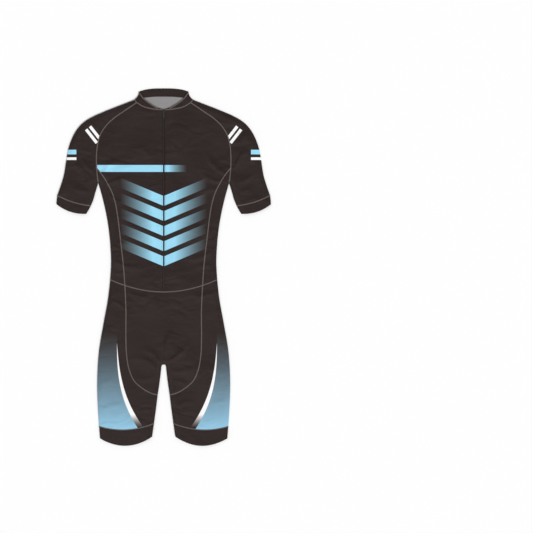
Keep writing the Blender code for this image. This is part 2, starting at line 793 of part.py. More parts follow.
def slider(base, cloth_top, collection, cutters, metal):
    """The slider: a stem in the slot, a plate over the cloth and a bridge that holds the pull."""
    y = TOP - SLIDER_DROP
    plate_low = cloth_top + SEAM_GAP
    plate_top = plate_low + SLIDER_PLATE[2]
    plate = block(
        "zip_slider", SLIDER_PLATE, (0, y, (plate_low + plate_top) / 2), collection, metal
    )
    overlap = SLIDER_PLATE[2] / 2
    stem_size = (*SLIDER_STEM, plate_low + overlap - base)
    stem = block("stem", stem_size, (0, y, base + stem_size[2] / 2), cutters, metal)
    axis = pull_axis_height(cloth_top)
    bridge_top = axis + PULL_EYE_RADIUS + BRIDGE_WALL
    bridge_low = plate_top - overlap
    bridge_size = (*BRIDGE_SIZE, bridge_top - bridge_low)
    bridge = block("bridge", bridge_size, (0, y, (bridge_top + bridge_low) / 2), cutters, metal)
    combine(plate, stem, "UNION")
    combine(plate, bridge, "UNION")
    bpy.ops.mesh.primitive_cylinder_add(
        vertices=16, radius=PULL_EYE_RADIUS, depth=4 * BRIDGE_SIZE[0], location=(0, y, axis)
    )
    eye = bpy.context.object
    eye.name = "eye"
    eye.rotation_euler = (0, math.radians(90), 0)
    for holder in eye.users_collection:
        holder.objects.unlink(eye)
    cutters.objects.link(eye)
    combine(plate, eye, "DIFFERENCE")
    round_edges(plate, 0.0002)


def rounded_outline(spline, corners):
    spline.points.add(len(corners) - 1)
    for point, (x, y) in zip(spline.points, corners):
        point.co = (x, y, 0, 1)
    spline.use_cyclic_u = True


def pull_tab(collection, finish):
    """The pull: a plate with a rounded end and an eye round the slider's bridge."""
    half = PULL_WIDTH / 2
    rim = PULL_RIM / 2
    end = PULL_LENGTH - half
    angles = np.radians(np.linspace(0, -180, 9))
    outer = [(-half, rim), (half, rim)]
    outer += [(half * math.cos(a), -end + half * math.sin(a)) for a in angles]
    eye_half = PULL_EYE[0] / 2
    inner = [(-eye_half, -rim), (-eye_half, -rim - PULL_EYE[1])]
    inner += [(eye_half, -rim - PULL_EYE[1]), (eye_half, -rim)]
    shape = bpy.data.curves.new("zip_pull", "CURVE")
    shape.dimensions = "2D"
    shape.fill_mode = "BOTH"
    shape.extrude = PULL_THICKNESS / 2
    shape.materials.append(finish)
    for corners in (outer, inner):
        rounded_outline(shape.splines.new("POLY"), corners)
    tab = bpy.data.objects.new("zip_pull", shape)
    tab.location = (0, TOP - SLIDER_DROP, pull_axis_height(LAY_HEIGHT + ZIP_RIDGE))
    tab.rotation_euler = (math.radians(PULL_DROOP), 0, 0)
    collection.objects.link(tab)


def main():
    for old in list(bpy.data.objects):
        bpy.data.objects.remove(old)
    suit = bpy.data.collections.new("skating suit")
    cutters = bpy.data.collections.new("cutters")
    for holder in (suit, cutters):
        bpy.context.scene.collection.children.link(holder)
    knit = material("black knit", BLACK_BROWN, 0.62)
    chest = material("front knit", BLACK_BROWN, 0.60)
    thigh = material("leg print", SLATE_BLUE, 0.60)
    band = material("gripper band", BLACK_BROWN, 0.70)
    tape = material("zip tape", ZIP_BLACK, 0.75)
    teeth = material("zip teeth", ZIP_BLACK, 0.40)
    metal = material("zip metal", GUNMETAL, 0.35, 1.0)

    back_upper(suit, knit)
    back_lower(suit, knit)
    seats(suit, knit)
    fronts(suit, chest)
    front_lower(suit, knit)
    side_panels(suit, knit)
    sleeves(suit, knit)
    legs(suit, thigh)
    collar(suit, band)
    end_bands("cuff", CUFF_INNER_FOLD, CUFF_OUTER_FOLD, cuff_seam, CUFF_HEM_SAG, suit, band)
    end_bands("leg_band", BAND_INNER_FOLD, BAND_OUTER_FOLD, band_seam, BAND_HEM_SAG, suit, band)
    zip_fastener(suit, cutters, tape, teeth, metal)
    pull_tab(suit, metal)


main()
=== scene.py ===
"""The looks of an inline skating suit that lies flat on its back, front up.

The cloth follows the same outlines and folds as the solids, in finer steps, with light creases.
Lengths are in metres, apart from the tables of the outline, the creases and the prints, which are
in millimetres. The prints are shader nodes that read the place on the suit.
"""

import math
from collections import namedtuple

import bpy
import numpy as np
from mathutils.kdtree import KDTree
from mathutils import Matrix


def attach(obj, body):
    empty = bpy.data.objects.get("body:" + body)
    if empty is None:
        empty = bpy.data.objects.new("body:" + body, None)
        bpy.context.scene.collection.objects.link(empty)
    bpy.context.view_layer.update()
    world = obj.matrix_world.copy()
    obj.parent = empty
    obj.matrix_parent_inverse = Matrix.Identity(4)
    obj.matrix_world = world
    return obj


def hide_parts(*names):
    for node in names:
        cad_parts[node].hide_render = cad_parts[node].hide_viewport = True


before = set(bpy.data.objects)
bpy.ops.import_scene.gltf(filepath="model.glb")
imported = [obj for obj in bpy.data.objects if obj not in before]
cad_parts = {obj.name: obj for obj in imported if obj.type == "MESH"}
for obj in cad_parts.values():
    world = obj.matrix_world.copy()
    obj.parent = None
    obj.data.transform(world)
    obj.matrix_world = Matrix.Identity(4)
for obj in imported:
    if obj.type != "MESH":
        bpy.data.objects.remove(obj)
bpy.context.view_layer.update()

# Sizes shared with the solids
LENGTH = 1.0885
TOP = LENGTH / 2
WALL = 0.0010
BAND_WALL = 0.0013
SEAM_GAP = 0.0003
EDGE_RISE = 0.0003
FOLD_RADIUS = 0.0028
LAY_HEIGHT = 0.0040
SETTLE = 0.040
ZIP_RIDGE = 0.0006
RIDGE_HALF = 0.014
RIDGE_FALL = 0.020
RIDGE_FADE = 0.060
SLOT_HALF = 0.0022
TAPE_WIDTH = 0.0125
TAPE_TOP_DROP = 0.0634
CHAIN_WIDTH = 0.0038
CHAIN_HEIGHT = 0.0014
CHAIN_TOP_DROP = 0.0789
CHAIN_END_DROP = 0.6124
SLIDER_DROP = 0.0732
CUFF_SEAM_SAG = 0.0055
CUFF_HEM_SAG = 0.0090
BAND_SEAM_SAG = 0.0150
BAND_HEM_SAG = 0.0252
FRONT_WAIST_SAG = 0.0199
FRONT_WAIST_SIDE_SAG = 0.0010
BACK_WAIST_SAG = 0.0205
YOKE_RISE = 0.0240

# The fine nets
NET_STEP = 0.0034
ROLL = (12, 26, 42, 60, 90)  # where a fold's quarter round has its columns, in degrees
SEAM_ROLL = (8, 18, 30, 44, 62, 90)
FOLD_LOOK = 0.034  # how far along a row its depth from the fold is measured
FOLD_LOOKS = 70
ON_FOLD = 0.0002
COLUMN_REACH = 0.45
APART = 0.00001  # the least step between columns, as a share of the row
ROW_POINTS = 200
FOLLOW = 0.0040  # how far from a drawn-in edge a net still moves with it
CURVE_POINTS = 600
MERGE = 0.00005
FOLD_FINE, SEAM_FINE = 0.0005, 0.0010  # the steps in which folds and seams are searched
UPPER_COLUMNS, LOWER_BACK_COLUMNS, PANEL_COLUMNS, COLLAR_COLUMNS = 50, 44, 14, 8
LIMB_COLUMNS, LEG_COLUMNS = 34, 40
CROTCH_COLUMNS, SEAT_COLUMNS = 36, 44
# Steps along the lines of the pieces that go round a fold: the front and the back have the same sum
RAGLAN_STEPS, UNDERARM_STEPS = 84, 12
LEG_FRONT_STEPS, HIP_STEPS, SEAT_STEPS = 110, 40, 70
NECK_FRONT_STEPS, NECK_SIDE_STEPS = 28, 6
NECK_BACK_STEPS, NECK_BACK_SIDE_STEPS = 22, 12
BAND_STEPS = 10
CROTCH_EVEN, CROTCH_POWER = 0.45, 2.6  # how the crotch's columns crowd towards its top

# Soft creases: a ridge, or a trough where rise is below 0, from one place to another. x is the
# distance from the centre line, to the right as seen from the front, and drop is the distance
# below the collar's top edge. Each row has these columns.
Crease = namedtuple("Crease", "x drop to_x to_drop width rise")
FRONT_CREASES = (
    (190, 265, 128, 198, 8.5, 4.2), (186, 277, 132, 233, 6, -1.6),
    (182, 288, 110, 254, 7, 2.9), (170, 310, 98, 328, 8, 2.4),
    (-188, 270, -140, 215, 7.5, 3.4), (-184, 284, -120, 252, 6, -1.4),
    (-180, 296, -94, 276, 8.5, 3.7), (-166, 324, -120, 348, 6.5, 1.9),
    (216, 250, 262, 182, 8, 3.6), (224, 290, 282, 250, 7, 2.9),
    (232, 320, 270, 308, 6, 1.9), (222, 170, 250, 130, 7.5, 2.1),
    (-214, 256, -252, 206, 7, 2.6), (-222, 282, -286, 230, 8, 3.6),
    (-230, 314, -286, 296, 6.5, 2.4), (-200, 130, -236, 106, 8, 1.9),
    (60, 190, 112, 140, 10, 1.9), (-40, 208, -104, 176, 10, 1.6),
    (130, 400, 78, 424, 8, 1.4), (-136, 390, -70, 380, 8.5, 1.6),
    (148, 495, 70, 524, 8.5, 3.1), (150, 542, 88, 556, 7, 2.1),
    (-150, 470, -92, 486, 7.5, 2.1), (-152, 522, -60, 548, 9, 3.4),
    (-146, 562, -104, 570, 6, 1.6), (156, 626, 86, 656, 8, 2.9),
    (-158, 646, -104, 690, 7.5, 2.4), (-110, 618, -40, 636, 8, 1.9),
    (8, 818, 26, 730, 7.5, 2.9), (14, 832, 78, 764, 8.5, 4),
    (16, 848, 84, 810, 6, -1.9), (20, 862, 112, 838, 8, 3.4),
    (24, 892, 80, 906, 6.5, 2.1), (-12, 836, -62, 794, 7.5, 3.1),
    (-16, 846, -90, 814, 5.5, -1.4), (-18, 854, -122, 822, 8.5, 4),
    (-22, 880, -96, 882, 6.5, 2.4), (-26, 912, -70, 932, 6, 1.6),
    (190, 870, 130, 850, 8.5, 2.4), (194, 954, 140, 972, 7.5, 2.4),
    (40, 970, 100, 954, 7.5, 2.4), (-192, 900, -150, 876, 8, 2.1),
    (-190, 980, -120, 964, 8, 2.6), (-36, 982, -84, 990, 6.5, 1.9),
)
BACK_CREASES = (
    (190, 270, 136, 220, 7.5, 1), (-186, 284, -120, 250, 8, 1.2),
    (222, 288, 266, 248, 6.5, 0.9), (-220, 270, -258, 210, 7, 1),
    (60, 330, -50, 346, 9, 0.8), (150, 505, 70, 528, 8, 0.9),
    (-148, 480, -60, 500, 7.5, 1), (20, 856, 84, 800, 7.5, 1),
    (-16, 846, -70, 776, 8, 1.2), (190, 930, 130, 914, 7.5, 0.9),
    (-186, 944, -110, 956, 8, 1),
)
CREASE_BEND = 0.10  # how far a crease bows, as a share of its length
CREASE_POINT = 1.7  # 2 is a round ridge, and less is a sharper one
CREASE_START, CREASE_GROWTH = 0.75, 0.5  # its width at its start, and what it gains, as shares
CREASE_IN, CREASE_OUT = (-0.05, 0.25), (1.1, 0.5)  # where along its length it rises and falls
STEEP_FLANK, SOFT_FLANK = 0.75, 1.3
RELIEF_START = 0.012  # how far in from a fold the front's relief has its full height
SWELL = 0.0016  # the gentle rise and fall of the front
SWELL_WAVES, SWELL_BENDS = (41, 29), (19, 23)  # along X and Y, in radians to a metre
PUCKER = 0.00016  # how much a seam gathers the cloth beside it
PUCKER_REACH = 0.0050
PUCKER_PITCH = 0.0092
PUCKER_DRIFTS = (47, 61)  # how its pitch and its height wander, in radians to a metre
SEAM_GROOVE = 0.00018  # how far the front dips along a seam
SEAM_REACH = 0.0050
BACK_CLEAR = 0.00038  # the back lies on its seams, which hold the rest this far up
SEAM_STAND = 0.00034

# Seams: a flat cover of thread with two rows of needle stitches
COVER_HALF = 0.0017
COVER_LIFT = 0.00028
COVER_STEP = 0.0018
STITCH_PITCH = 0.0036
STITCH_LENGTH = 0.0028
THREAD = 0.00022
HEM_THREAD = 0.00020
NEEDLE_ROW = 0.0013
ZIGZAG_HALF = 0.86 * NEEDLE_ROW
FINE_ROLL = (10, 20, 32, 45, 60, 75, 90)
DENSE = 0.0005  # the step along a seam
PROBE = 0.001  # how far to each side of it the skin's slope is taken
HIGHLIGHT_ROW = 0.0019  # from the collar's front edge to the stitching along it, whose light grey is a painted highlight of that edge
HIGHLIGHT_END = 0.0030  # from that stitching's end to the fold at the collar's corner
HEM_SHARES = (0.60, 0.72)  # where an end band's stitches are, on the way from its seam to its hem
HEM_END_POINTS = 4  # points of a hem's row that are left free at each fold
ZIP_ROW = ((6.4, 66.4), (6.4, 616.4))

# Colours as they show under the lamps
BLACK_BROWN = (52, 44, 42)
SKY_BLUE = (158, 220, 245)
THIGH_BLUE = (152, 204, 232)
WHITE = (250, 250, 250)
LINING_GREY = (147, 145, 145)
# The seams' greys, which also make the light line along the collar's front edge, a painted highlight
SEAM_AND_HIGHLIGHT_GREY = (98, 90, 87)
THREAD_AND_HIGHLIGHT_GREY = (124, 116, 112)
DARK_SEAM = (58, 50, 48)
DARK_THREAD = (64, 56, 54)
ZIP_BLACK = (60, 52, 50)
GUNMETAL = (60, 56, 55)


# Lines of the outline


def points_of(*rows):
    """Places of the outline as X and Y, in metres."""
    return np.array([(half / 1000, TOP - drop / 1000) for half, drop in rows])


def reach(line):
    """The distance along a line of points to each of them."""
    steps = np.linalg.norm(np.diff(line, axis=0), axis=1)
    return np.concatenate([[0.0], np.cumsum(steps)])


def smooth(*rows):
    """A smooth line through these places: a cubic Hermite curve, closely spaced."""
    knots = points_of(*rows)
    at_knots = reach(knots)
    slopes = np.gradient(knots, at_knots, axis=0)
    at = np.linspace(0, at_knots[-1], CURVE_POINTS)
    span = np.clip(np.searchsorted(at_knots, at, side="right") - 1, 0, len(knots) - 2)
    width = np.diff(at_knots)[span][:, None]
    t = (at - at_knots[span])[:, None] / width
    here = (1 + 2 * t) * (1 - t) ** 2 * knots[span] + t * (1 - t) ** 2 * width * slopes[span]
    there = t**2 * (3 - 2 * t) * knots[span + 1] - t**2 * (1 - t) * width * slopes[span + 1]
    return here + there


def sagging(start, end, sag):
    """A parabola between two points that sags by so much towards the hem."""
    t = np.linspace(0, 1, CURVE_POINTS)[:, None]
    along = end - start
    away = np.array([along[1], -along[0]]) / np.linalg.norm(along)
    if away[1] > 0:
        away = -away
    return start * (1 - t) + end * t + 4 * t * (1 - t) * sag * away


def waist(inner, sag, seam):
    """A waist seam, from inner out to a place on a seam: it is lowest at the centre line."""
    half, height = points_of(seam)[0]
    x = np.linspace(inner, half, CURVE_POINTS)
    return np.column_stack([x, height - sag + sag * (x / half) ** 2])


# Places of the outline: how far each is from the centre line, and below the collar's top edge
NECK_POINT = (89.2, 34.6)
COLLAR_CORNER = (75.3, 9.6)
ARMPIT = (199.5, 286.9)
SIDE_TIP = (204.4, 242.4)
CUFF_OUTER = (324.2, 326.2)
CUFF_INNER = (222.7, 357.6)
WAIST_SIDE = (163, 582.4)
WAIST_FRONT_SEAM = (118.3, 600.4)
WAIST_BACK_SEAM = (138.3, 585.4)
BAND_OUTER = (196.8, 1029.9)
BAND_INNER = (30, 1020.9)
CROTCH = (0, 841.4)
INSEAM_JOINT = (18.7, 933.9)
NECK_FRONT_JOINT = (82.4, 43.5)
NECK_BACK_JOINT = (58.3, 27.6)
HIP_END = (150.1, 723.3)

fold_shoulder = smooth(
    NECK_POINT, (125.7, 48.9), (157.4, 61.1), (187.3, 73.3), (214.7, 85.5), (236.1, 97.7),
    (251.3, 109.9), (266, 127.4), (280, 153.4), (290.4, 183.1), (297.1, 219.7), (305.3, 268.5),
    (312.6, 292.9), CUFF_OUTER,
)
fold_cuff_outer = smooth(CUFF_OUTER, (325.9, 339.4), (326.8, 353))
fold_underarm = smooth(ARMPIT, (208.9, 317.3), (215.9, 341.7), CUFF_INNER)
fold_cuff_inner = smooth(CUFF_INNER, (227.2, 366.4), (236.7, 382.3))
line_raglan_front = smooth(
    NECK_FRONT_JOINT, (117.1, 67.2), (150.5, 89.9), (175.1, 113), (192, 138.4), (201.9, 174),
    (204.7, 204.5), SIDE_TIP,
)
line_raglan_back = smooth(
    NECK_BACK_JOINT, (71.4, 37.9), (102.5, 58.1), (130.8, 76.4), (155.9, 94.7), (176.3, 113),
    (192, 135.9), (201.9, 167.9), (205.3, 204.5), SIDE_TIP,
)
line_raglan_under = smooth(SIDE_TIP, (202.1, 265.4), ARMPIT)
line_side_front = smooth(
    SIDE_TIP, (186.1, 265.5), (167.8, 296), (156.2, 320.4), (148.5, 344.8), (139.7, 393.6),
    (133.9, 442.4), (128.1, 491.2), (122.6, 540), WAIST_FRONT_SEAM,
)
line_side_back = smooth(
    SIDE_TIP, (189.5, 261.4), (169, 296), (158.9, 320.4), (149.8, 344.8), (138.2, 393.6),
    (133.9, 442.4), (132, 482.4), (134.5, 530.4), WAIST_BACK_SEAM,
)
line_leg_front = smooth(
    WAIST_FRONT_SEAM, (115, 677.4), (115, 762.6), (113.2, 811.4), (104.3, 860.2), (90.5, 890.4),
    (70.5, 909.7), (52.2, 921.9), (33.9, 930.1), INSEAM_JOINT,
)
line_hip = smooth(WAIST_BACK_SEAM, (143, 613.2), (149.5, 671.2), HIP_END)
line_seat = smooth(
    HIP_END, (149.8, 768.7), (140.3, 817.5), (117.4, 866.3), (97.9, 890.7), (66.2, 915.1),
    (40, 926.9), INSEAM_JOINT,
)
fold_body = smooth(
    ARMPIT, (184.5, 341.7), (169.6, 414.9), (162.2, 484.4), (160.4, 532.4), WAIST_SIDE,
)
fold_leg = smooth(
    WAIST_SIDE, (168.7, 634.5), (183.3, 716.9), (197, 799.2), (202.4, 884.6), (199.2, 992.9),
    BAND_OUTER,
)
fold_band_outer = smooth(BAND_OUTER, (194, 1066.4))
fold_crotch = smooth(CROTCH, (5.2, 842.6), (7.3, 847.4), (8.7, 860.2), (14.9, 909), INSEAM_JOINT)
fold_inner_leg = smooth(INSEAM_JOINT, (24.7, 982.2), BAND_INNER)
fold_band_inner = smooth(BAND_INNER, (35.8, 1061.4))
line_neck_front = smooth(
    (1000 * SLOT_HALF, 65.2), (24.7, 63.6), (43, 60.6), (61.3, 55.6), NECK_FRONT_JOINT,
)
line_neck_side = smooth(NECK_FRONT_JOINT, NECK_POINT)
line_neck_back = smooth((0, 24.2), (30, 25), NECK_BACK_JOINT)
line_neck_back_side = smooth(NECK_BACK_JOINT, NECK_POINT)
line_opening = smooth(
    (1000 * SLOT_HALF, 62.9), (10, 61.4), (18.8, 58.1), (34.9, 48.9), (43.9, 42.8), (59.5, 30.4),
    COLLAR_CORNER,
)
fold_neck = smooth(NECK_POINT, (80, 24.4), (76.8, 17.4), COLLAR_CORNER)
line_collar_top = smooth((0, 0), (34, 0.9), (62, 5.2), COLLAR_CORNER)

line_centre_back = points_of((0, 699), CROTCH)
line_front_waist = waist(SLOT_HALF, FRONT_WAIST_SAG, WAIST_FRONT_SEAM)
line_front_waist_whole = waist(0, FRONT_WAIST_SAG, WAIST_FRONT_SEAM)
line_back_waist = waist(0, BACK_WAIST_SAG, WAIST_BACK_SEAM)
line_front_waist_side = sagging(*points_of(WAIST_FRONT_SEAM, WAIST_SIDE), FRONT_WAIST_SIDE_SAG)
line_back_waist_side = sagging(*points_of(WAIST_BACK_SEAM, WAIST_SIDE), 0)
line_yoke = waist(0, -YOKE_RISE, HIP_END)
line_cuff = sagging(*points_of(CUFF_INNER, CUFF_OUTER), CUFF_SEAM_SAG)
line_cuff_hem = sagging(fold_cuff_inner[-1], fold_cuff_outer[-1], CUFF_HEM_SAG)
line_band = sagging(*points_of(BAND_INNER, BAND_OUTER), BAND_SEAM_SAG)
line_band_hem = sagging(fold_band_inner[-1], fold_band_outer[-1], BAND_HEM_SAG)


def sample(line, fractions):
    """Points of a line at these fractions of its length."""
    along = reach(line)
    at = np.asarray(fractions) * along[-1]
    return np.column_stack([np.interp(at, along, line[:, axis]) for axis in (0, 1)])


def fold_shares(line, angles):
    """Shares of a line's length, from its start, where a fold's quarter round has its columns."""
    length = reach(line)[-1]
    depths = FOLD_RADIUS * (1 - np.cos(np.radians(angles)))
    near = np.linspace(0, min(COLUMN_REACH, FOLD_LOOK / length), FOLD_LOOKS)
    gap, _ = fold_finder(sample(line, near))
    order = np.arange(1, len(angles) + 1)
    if gap[0] > ON_FOLD:
        shares = depths / length
    else:
        shares = np.interp(depths, np.maximum.accumulate(gap - gap[0]), near) + APART * order
    return np.minimum(shares, COLUMN_REACH * order / len(angles))


def cut(line, count, start=(), end=()):
    """Points that cut a line evenly, with closer ones at an end that meets a fold."""
    first, last = [0.0], [1.0]
    if start:
        first = [0.0, *fold_shares(line, start)]
    if end:
        last = [*(1 - share for share in reversed(fold_shares(line[::-1], end))), 1.0]
    middle = np.linspace(first[-1], last[0], count + 1)
    return sample(line, np.concatenate([first[:-1], middle, last[1:]]))


def matched(line, other):
    """Points of a line at the same shares of its length as another row of points has."""
    return sample(line, reach(other) / reach(other)[-1])


def chain(*stretches):
    """Stretches that follow on, as one row of points."""
    return np.concatenate([stretches[0], *(stretch[1:] for stretch in stretches[1:])])


def steps_for(line):
    """How many steps of the fine net a line takes."""
    return max(2, round(reach(line)[-1] / NET_STEP))


# The two layers of the laid suit


class Nearest:
    """Finds the nearest place on a set of lines."""

    def __init__(self, lines, step):
        parts = [sample(line, np.linspace(0, 1, max(2, int(reach(line)[-1] / step)))) for line in lines]
        self.starts = np.concatenate([part[:-1] for part in parts])
        self.steps = np.concatenate([np.diff(part, axis=0) for part in parts])
        self.along = np.concatenate([reach(part)[:-1] for part in parts])
        self.tree = KDTree(len(self.starts))
        for number, (x, y) in enumerate(self.starts + self.steps / 2):
            self.tree.insert((x, y, 0), number)
        self.tree.balance()

    def __call__(self, points):
        """The distance to the lines and how far along its line the nearest place is."""
        find = self.tree.find
        found = np.array([find((x, y, 0))[1] for x, y in points])
        away = points - self.starts[found]
        step = self.steps[found]
        share = np.clip((away * step).sum(1) / (step**2).sum(1), 0, 1)
        gap = np.linalg.norm(away - share[:, None] * step, axis=1)
        return gap, self.along[found] + share * np.linalg.norm(step, axis=1)


FOLDS = (
    fold_neck, fold_shoulder, fold_cuff_outer, fold_cuff_inner, fold_underarm, fold_body, fold_leg,
    fold_band_outer, fold_crotch, fold_inner_leg, fold_band_inner,
)
FRONT_SEAMS = (
    line_raglan_front, line_raglan_under, line_side_front, line_leg_front, line_front_waist_whole,
    line_front_waist_side, line_cuff, line_band, line_neck_front, line_neck_side,
)
BACK_SEAMS = (
    line_raglan_back, line_raglan_under, line_side_back, line_hip, line_seat, line_back_waist,
    line_back_waist_side, line_yoke, line_cuff, line_band, line_neck_back, line_neck_back_side,
    line_centre_back,
)
fold_finder = Nearest(FOLDS, FOLD_FINE)
seam_finders = {1: Nearest(FRONT_SEAMS, SEAM_FINE), -1: Nearest(BACK_SEAMS, SEAM_FINE)}


def ease(share):
    """0 below 0, 1 above 1 and a smooth step between."""
    share = np.clip(share, 0, 1)
    return share * share * (3 - 2 * share)


def zip_share(points):
    """1 beside the zip, 0 well away from it."""
    across = 1 - ease((np.abs(points[:, 0]) - RIDGE_HALF) / RIDGE_FALL)
    below = line_front_waist_whole[0, 1] - points[:, 1]
    return across * (1 - ease(below / RIDGE_FADE))


def crease_height(x, y, creases):
    """How far the creases raise or lower each place."""
    total = np.zeros(len(x))
    for number, crease in enumerate(Crease(*row) for row in creases):
        start, end = points_of((crease.x, crease.drop), (crease.to_x, crease.to_drop))
        length = np.linalg.norm(end - start)
        along = (end - start) / length
        away = np.column_stack([x, y]) - start
        at = away @ along / length
        bend = CREASE_BEND * length * np.sin(math.pi * np.clip(at, 0, 1)) * (-1) ** number
        off = away @ np.array([-along[1], along[0]]) - bend
        width = crease.width / 1000 * (CREASE_START + CREASE_GROWTH * np.clip(at, 0, 1))
        width = width * np.where(off > 0, STEEP_FLANK, SOFT_FLANK)
        taper = math.prod(ease((at - low) / (high - low)) for low, high in (CREASE_IN, CREASE_OUT))
        total += crease.rise / 1000 * taper * np.exp(-(np.abs(off / width) ** CREASE_POINT))
    return total


def pucker(x, gap, along, mirrored):
    """How a seam gathers the cloth beside it, by the distances from and along the seam."""
    turn = 1.3 * ease(np.abs(x) / 0.03) if mirrored else 0.0
    wave = np.sin(2 * math.pi * along / PUCKER_PITCH + 1.4 * np.sin(along * PUCKER_DRIFTS[0] + turn))
    uneven = 0.55 + 0.45 * np.sin(along * PUCKER_DRIFTS[1] + 2 * turn)
    return PUCKER * np.exp(-((gap / PUCKER_REACH) ** 2)) * wave * uneven


def front_relief(points, mirrored):
    """Creases, swell, puckers and the dip along each seam."""
    x, y = (points * (-1, 1) if mirrored else points).T
    bend_x, bend_y = np.sin(x * SWELL_BENDS[0]), np.sin(y * SWELL_BENDS[1])
    swell = np.sin(x * SWELL_WAVES[0] + 0.9 * bend_y) * np.sin(y * SWELL_WAVES[1] + 1.7 + 1.1 * bend_x)
    gap, along = seam_finders[1](points)
    free = crease_height(x, y, FRONT_CREASES) + SWELL * (1 + swell)
    groove = SEAM_GROOVE * np.exp(-((gap / SEAM_REACH) ** 2))
    return free * (1 - zip_share(points)) + pucker(x, gap, along, mirrored) - groove


def back_relief(points, mirrored):
    """The same on the back, which lies on its seams."""
    x, y = (points * (-1, 1) if mirrored else points).T
    gap, along = seam_finders[-1](points)
    stand = SEAM_STAND * np.exp(-((gap / SEAM_REACH) ** 2))
    return crease_height(x, y, BACK_CREASES) + pucker(x, gap, along, mirrored) * 0.5 + stand


def skin_height(points, side, mirrored=False):
    """The outer skin's height: side is 1 on the front, -1 on the back and 0 on a fold's line."""
    side = np.broadcast_to(side, len(points))
    depth, _ = fold_finder(points)
    short = np.maximum(0, FOLD_RADIUS - depth)
    rise = np.maximum(EDGE_RISE, np.sqrt(np.maximum(0, FOLD_RADIUS**2 - short**2)))
    sunk = (2 * FOLD_RADIUS - LAY_HEIGHT) * ease((depth - FOLD_RADIUS) / SETTLE)
    over = FOLD_RADIUS + rise - sunk + ZIP_RIDGE * zip_share(points)
    under = FOLD_RADIUS - rise + BACK_CLEAR * ease(depth / FOLD_RADIUS)
    front, back = side > 0, side < 0
    if front.any():
        share = ease((depth[front] - FOLD_RADIUS) / RELIEF_START)
        over[front] += share * front_relief(points[front], mirrored)
    if back.any():
        under[back] += ease(depth[back] / FOLD_RADIUS) * back_relief(points[back], mirrored)
    return np.select([front, back], [over, np.maximum(under, 0)], FOLD_RADIUS)


# Nets of points


def patch(left, right, top, bottom, count, **rolls):
    """A net of points between four lines of the outline, with a row from each left point."""
    shares = (reach(left) / reach(left)[-1] + reach(right) / reach(right)[-1]) / 2
    even = np.linspace(0, 1, ROW_POINTS)
    bends = [sample(line, even) - line[0] - even[:, None] * (line[-1] - line[0]) for line in (top, bottom)]
    rows = []
    for start, end, share in zip(left, right, shares):
        row = start + even[:, None] * (end - start) + (1 - share) * bends[0] + share * bends[1]
        rows.append(cut(row, count, **rolls))
    return np.array(rows)


def from_edge(net, edge):
    """A net turned so that this edge is its first row."""
    return {
        "top": net,
        "bottom": net[::-1],
        "left": net.swapaxes(0, 1),
        "right": net.swapaxes(0, 1)[::-1],
    }[edge]


def inset(net, *edges, share=1.0):
    """Draws edges of a net in by half a seam's gap, or by this share of it, point by point."""
    for edge in edges:
        turned = from_edge(net, edge)
        steps = np.diff(turned, axis=0)
        lengths = np.linalg.norm(steps, axis=2)
        inward = steps / lengths[:, :, None]
        inward = np.concatenate([inward, inward[-1:]])
        along = np.gradient(turned[0], axis=0)
        along /= np.linalg.norm(along, axis=1)[:, None]
        slant = np.abs(along[:, 0] * inward[0, :, 1] - along[:, 1] * inward[0, :, 0])
        amount = share * SEAM_GAP / 2 / np.maximum(slant, 0.3)
        away = np.concatenate([np.zeros((1, len(along))), np.cumsum(lengths, axis=0)])
        turned += inward * (amount * np.maximum(0, 1 - away / FOLLOW))[:, :, None]


def one_side(net, side):
    """A net that lies all on the front or all on the back, with its sides."""
    return net, np.full(net.shape[:2], side)


def wrapped(front, back):
    """Two nets that meet along a fold as one. The fold is each one's last column."""
    net = np.concatenate([front, back[:, -2::-1]], axis=1)
    sides = np.concatenate([np.full(front.shape[:2], 1), np.full(back[:, :-1].shape[:2], -1)], axis=1)
    sides[:, front.shape[1] - 1] = 0
    return net, sides


def grid(rows, columns):
    """The faces of a net, by the numbers of its points."""
    index = np.arange(rows * columns).reshape(rows, columns)
    quads = np.stack([index[:-1, :-1], index[1:, :-1], index[1:, 1:], index[:-1, 1:]], axis=2)
    return quads.reshape(-1, 4)


# Materials


LAMP_LIGHT = 0.99  # how bright the lamps make a white cloth
CLOTH_GLOSS = 0.0168  # what the cloth's gloss adds to each colour
LEAST_DYE = 0.002


def rgba(colour):
    """A screen colour as the linear one that a material takes."""
    shares = [value / 255 for value in colour]
    return (*(s / 12.92 if s <= 0.04045 else ((s + 0.055) / 1.055) ** 2.4 for s in shares), 1.0)


def dyed(colour):
    """The dye of a cloth that shows in this colour under the lamps."""
    return (*(max(LEAST_DYE, (value - CLOTH_GLOSS) / LAMP_LIGHT) for value in rgba(colour)[:3]), 1.0)


def blend(first, second, share):
    """A screen colour between two others."""
    return tuple(a + share * (b - a) for a, b in zip(first, second))


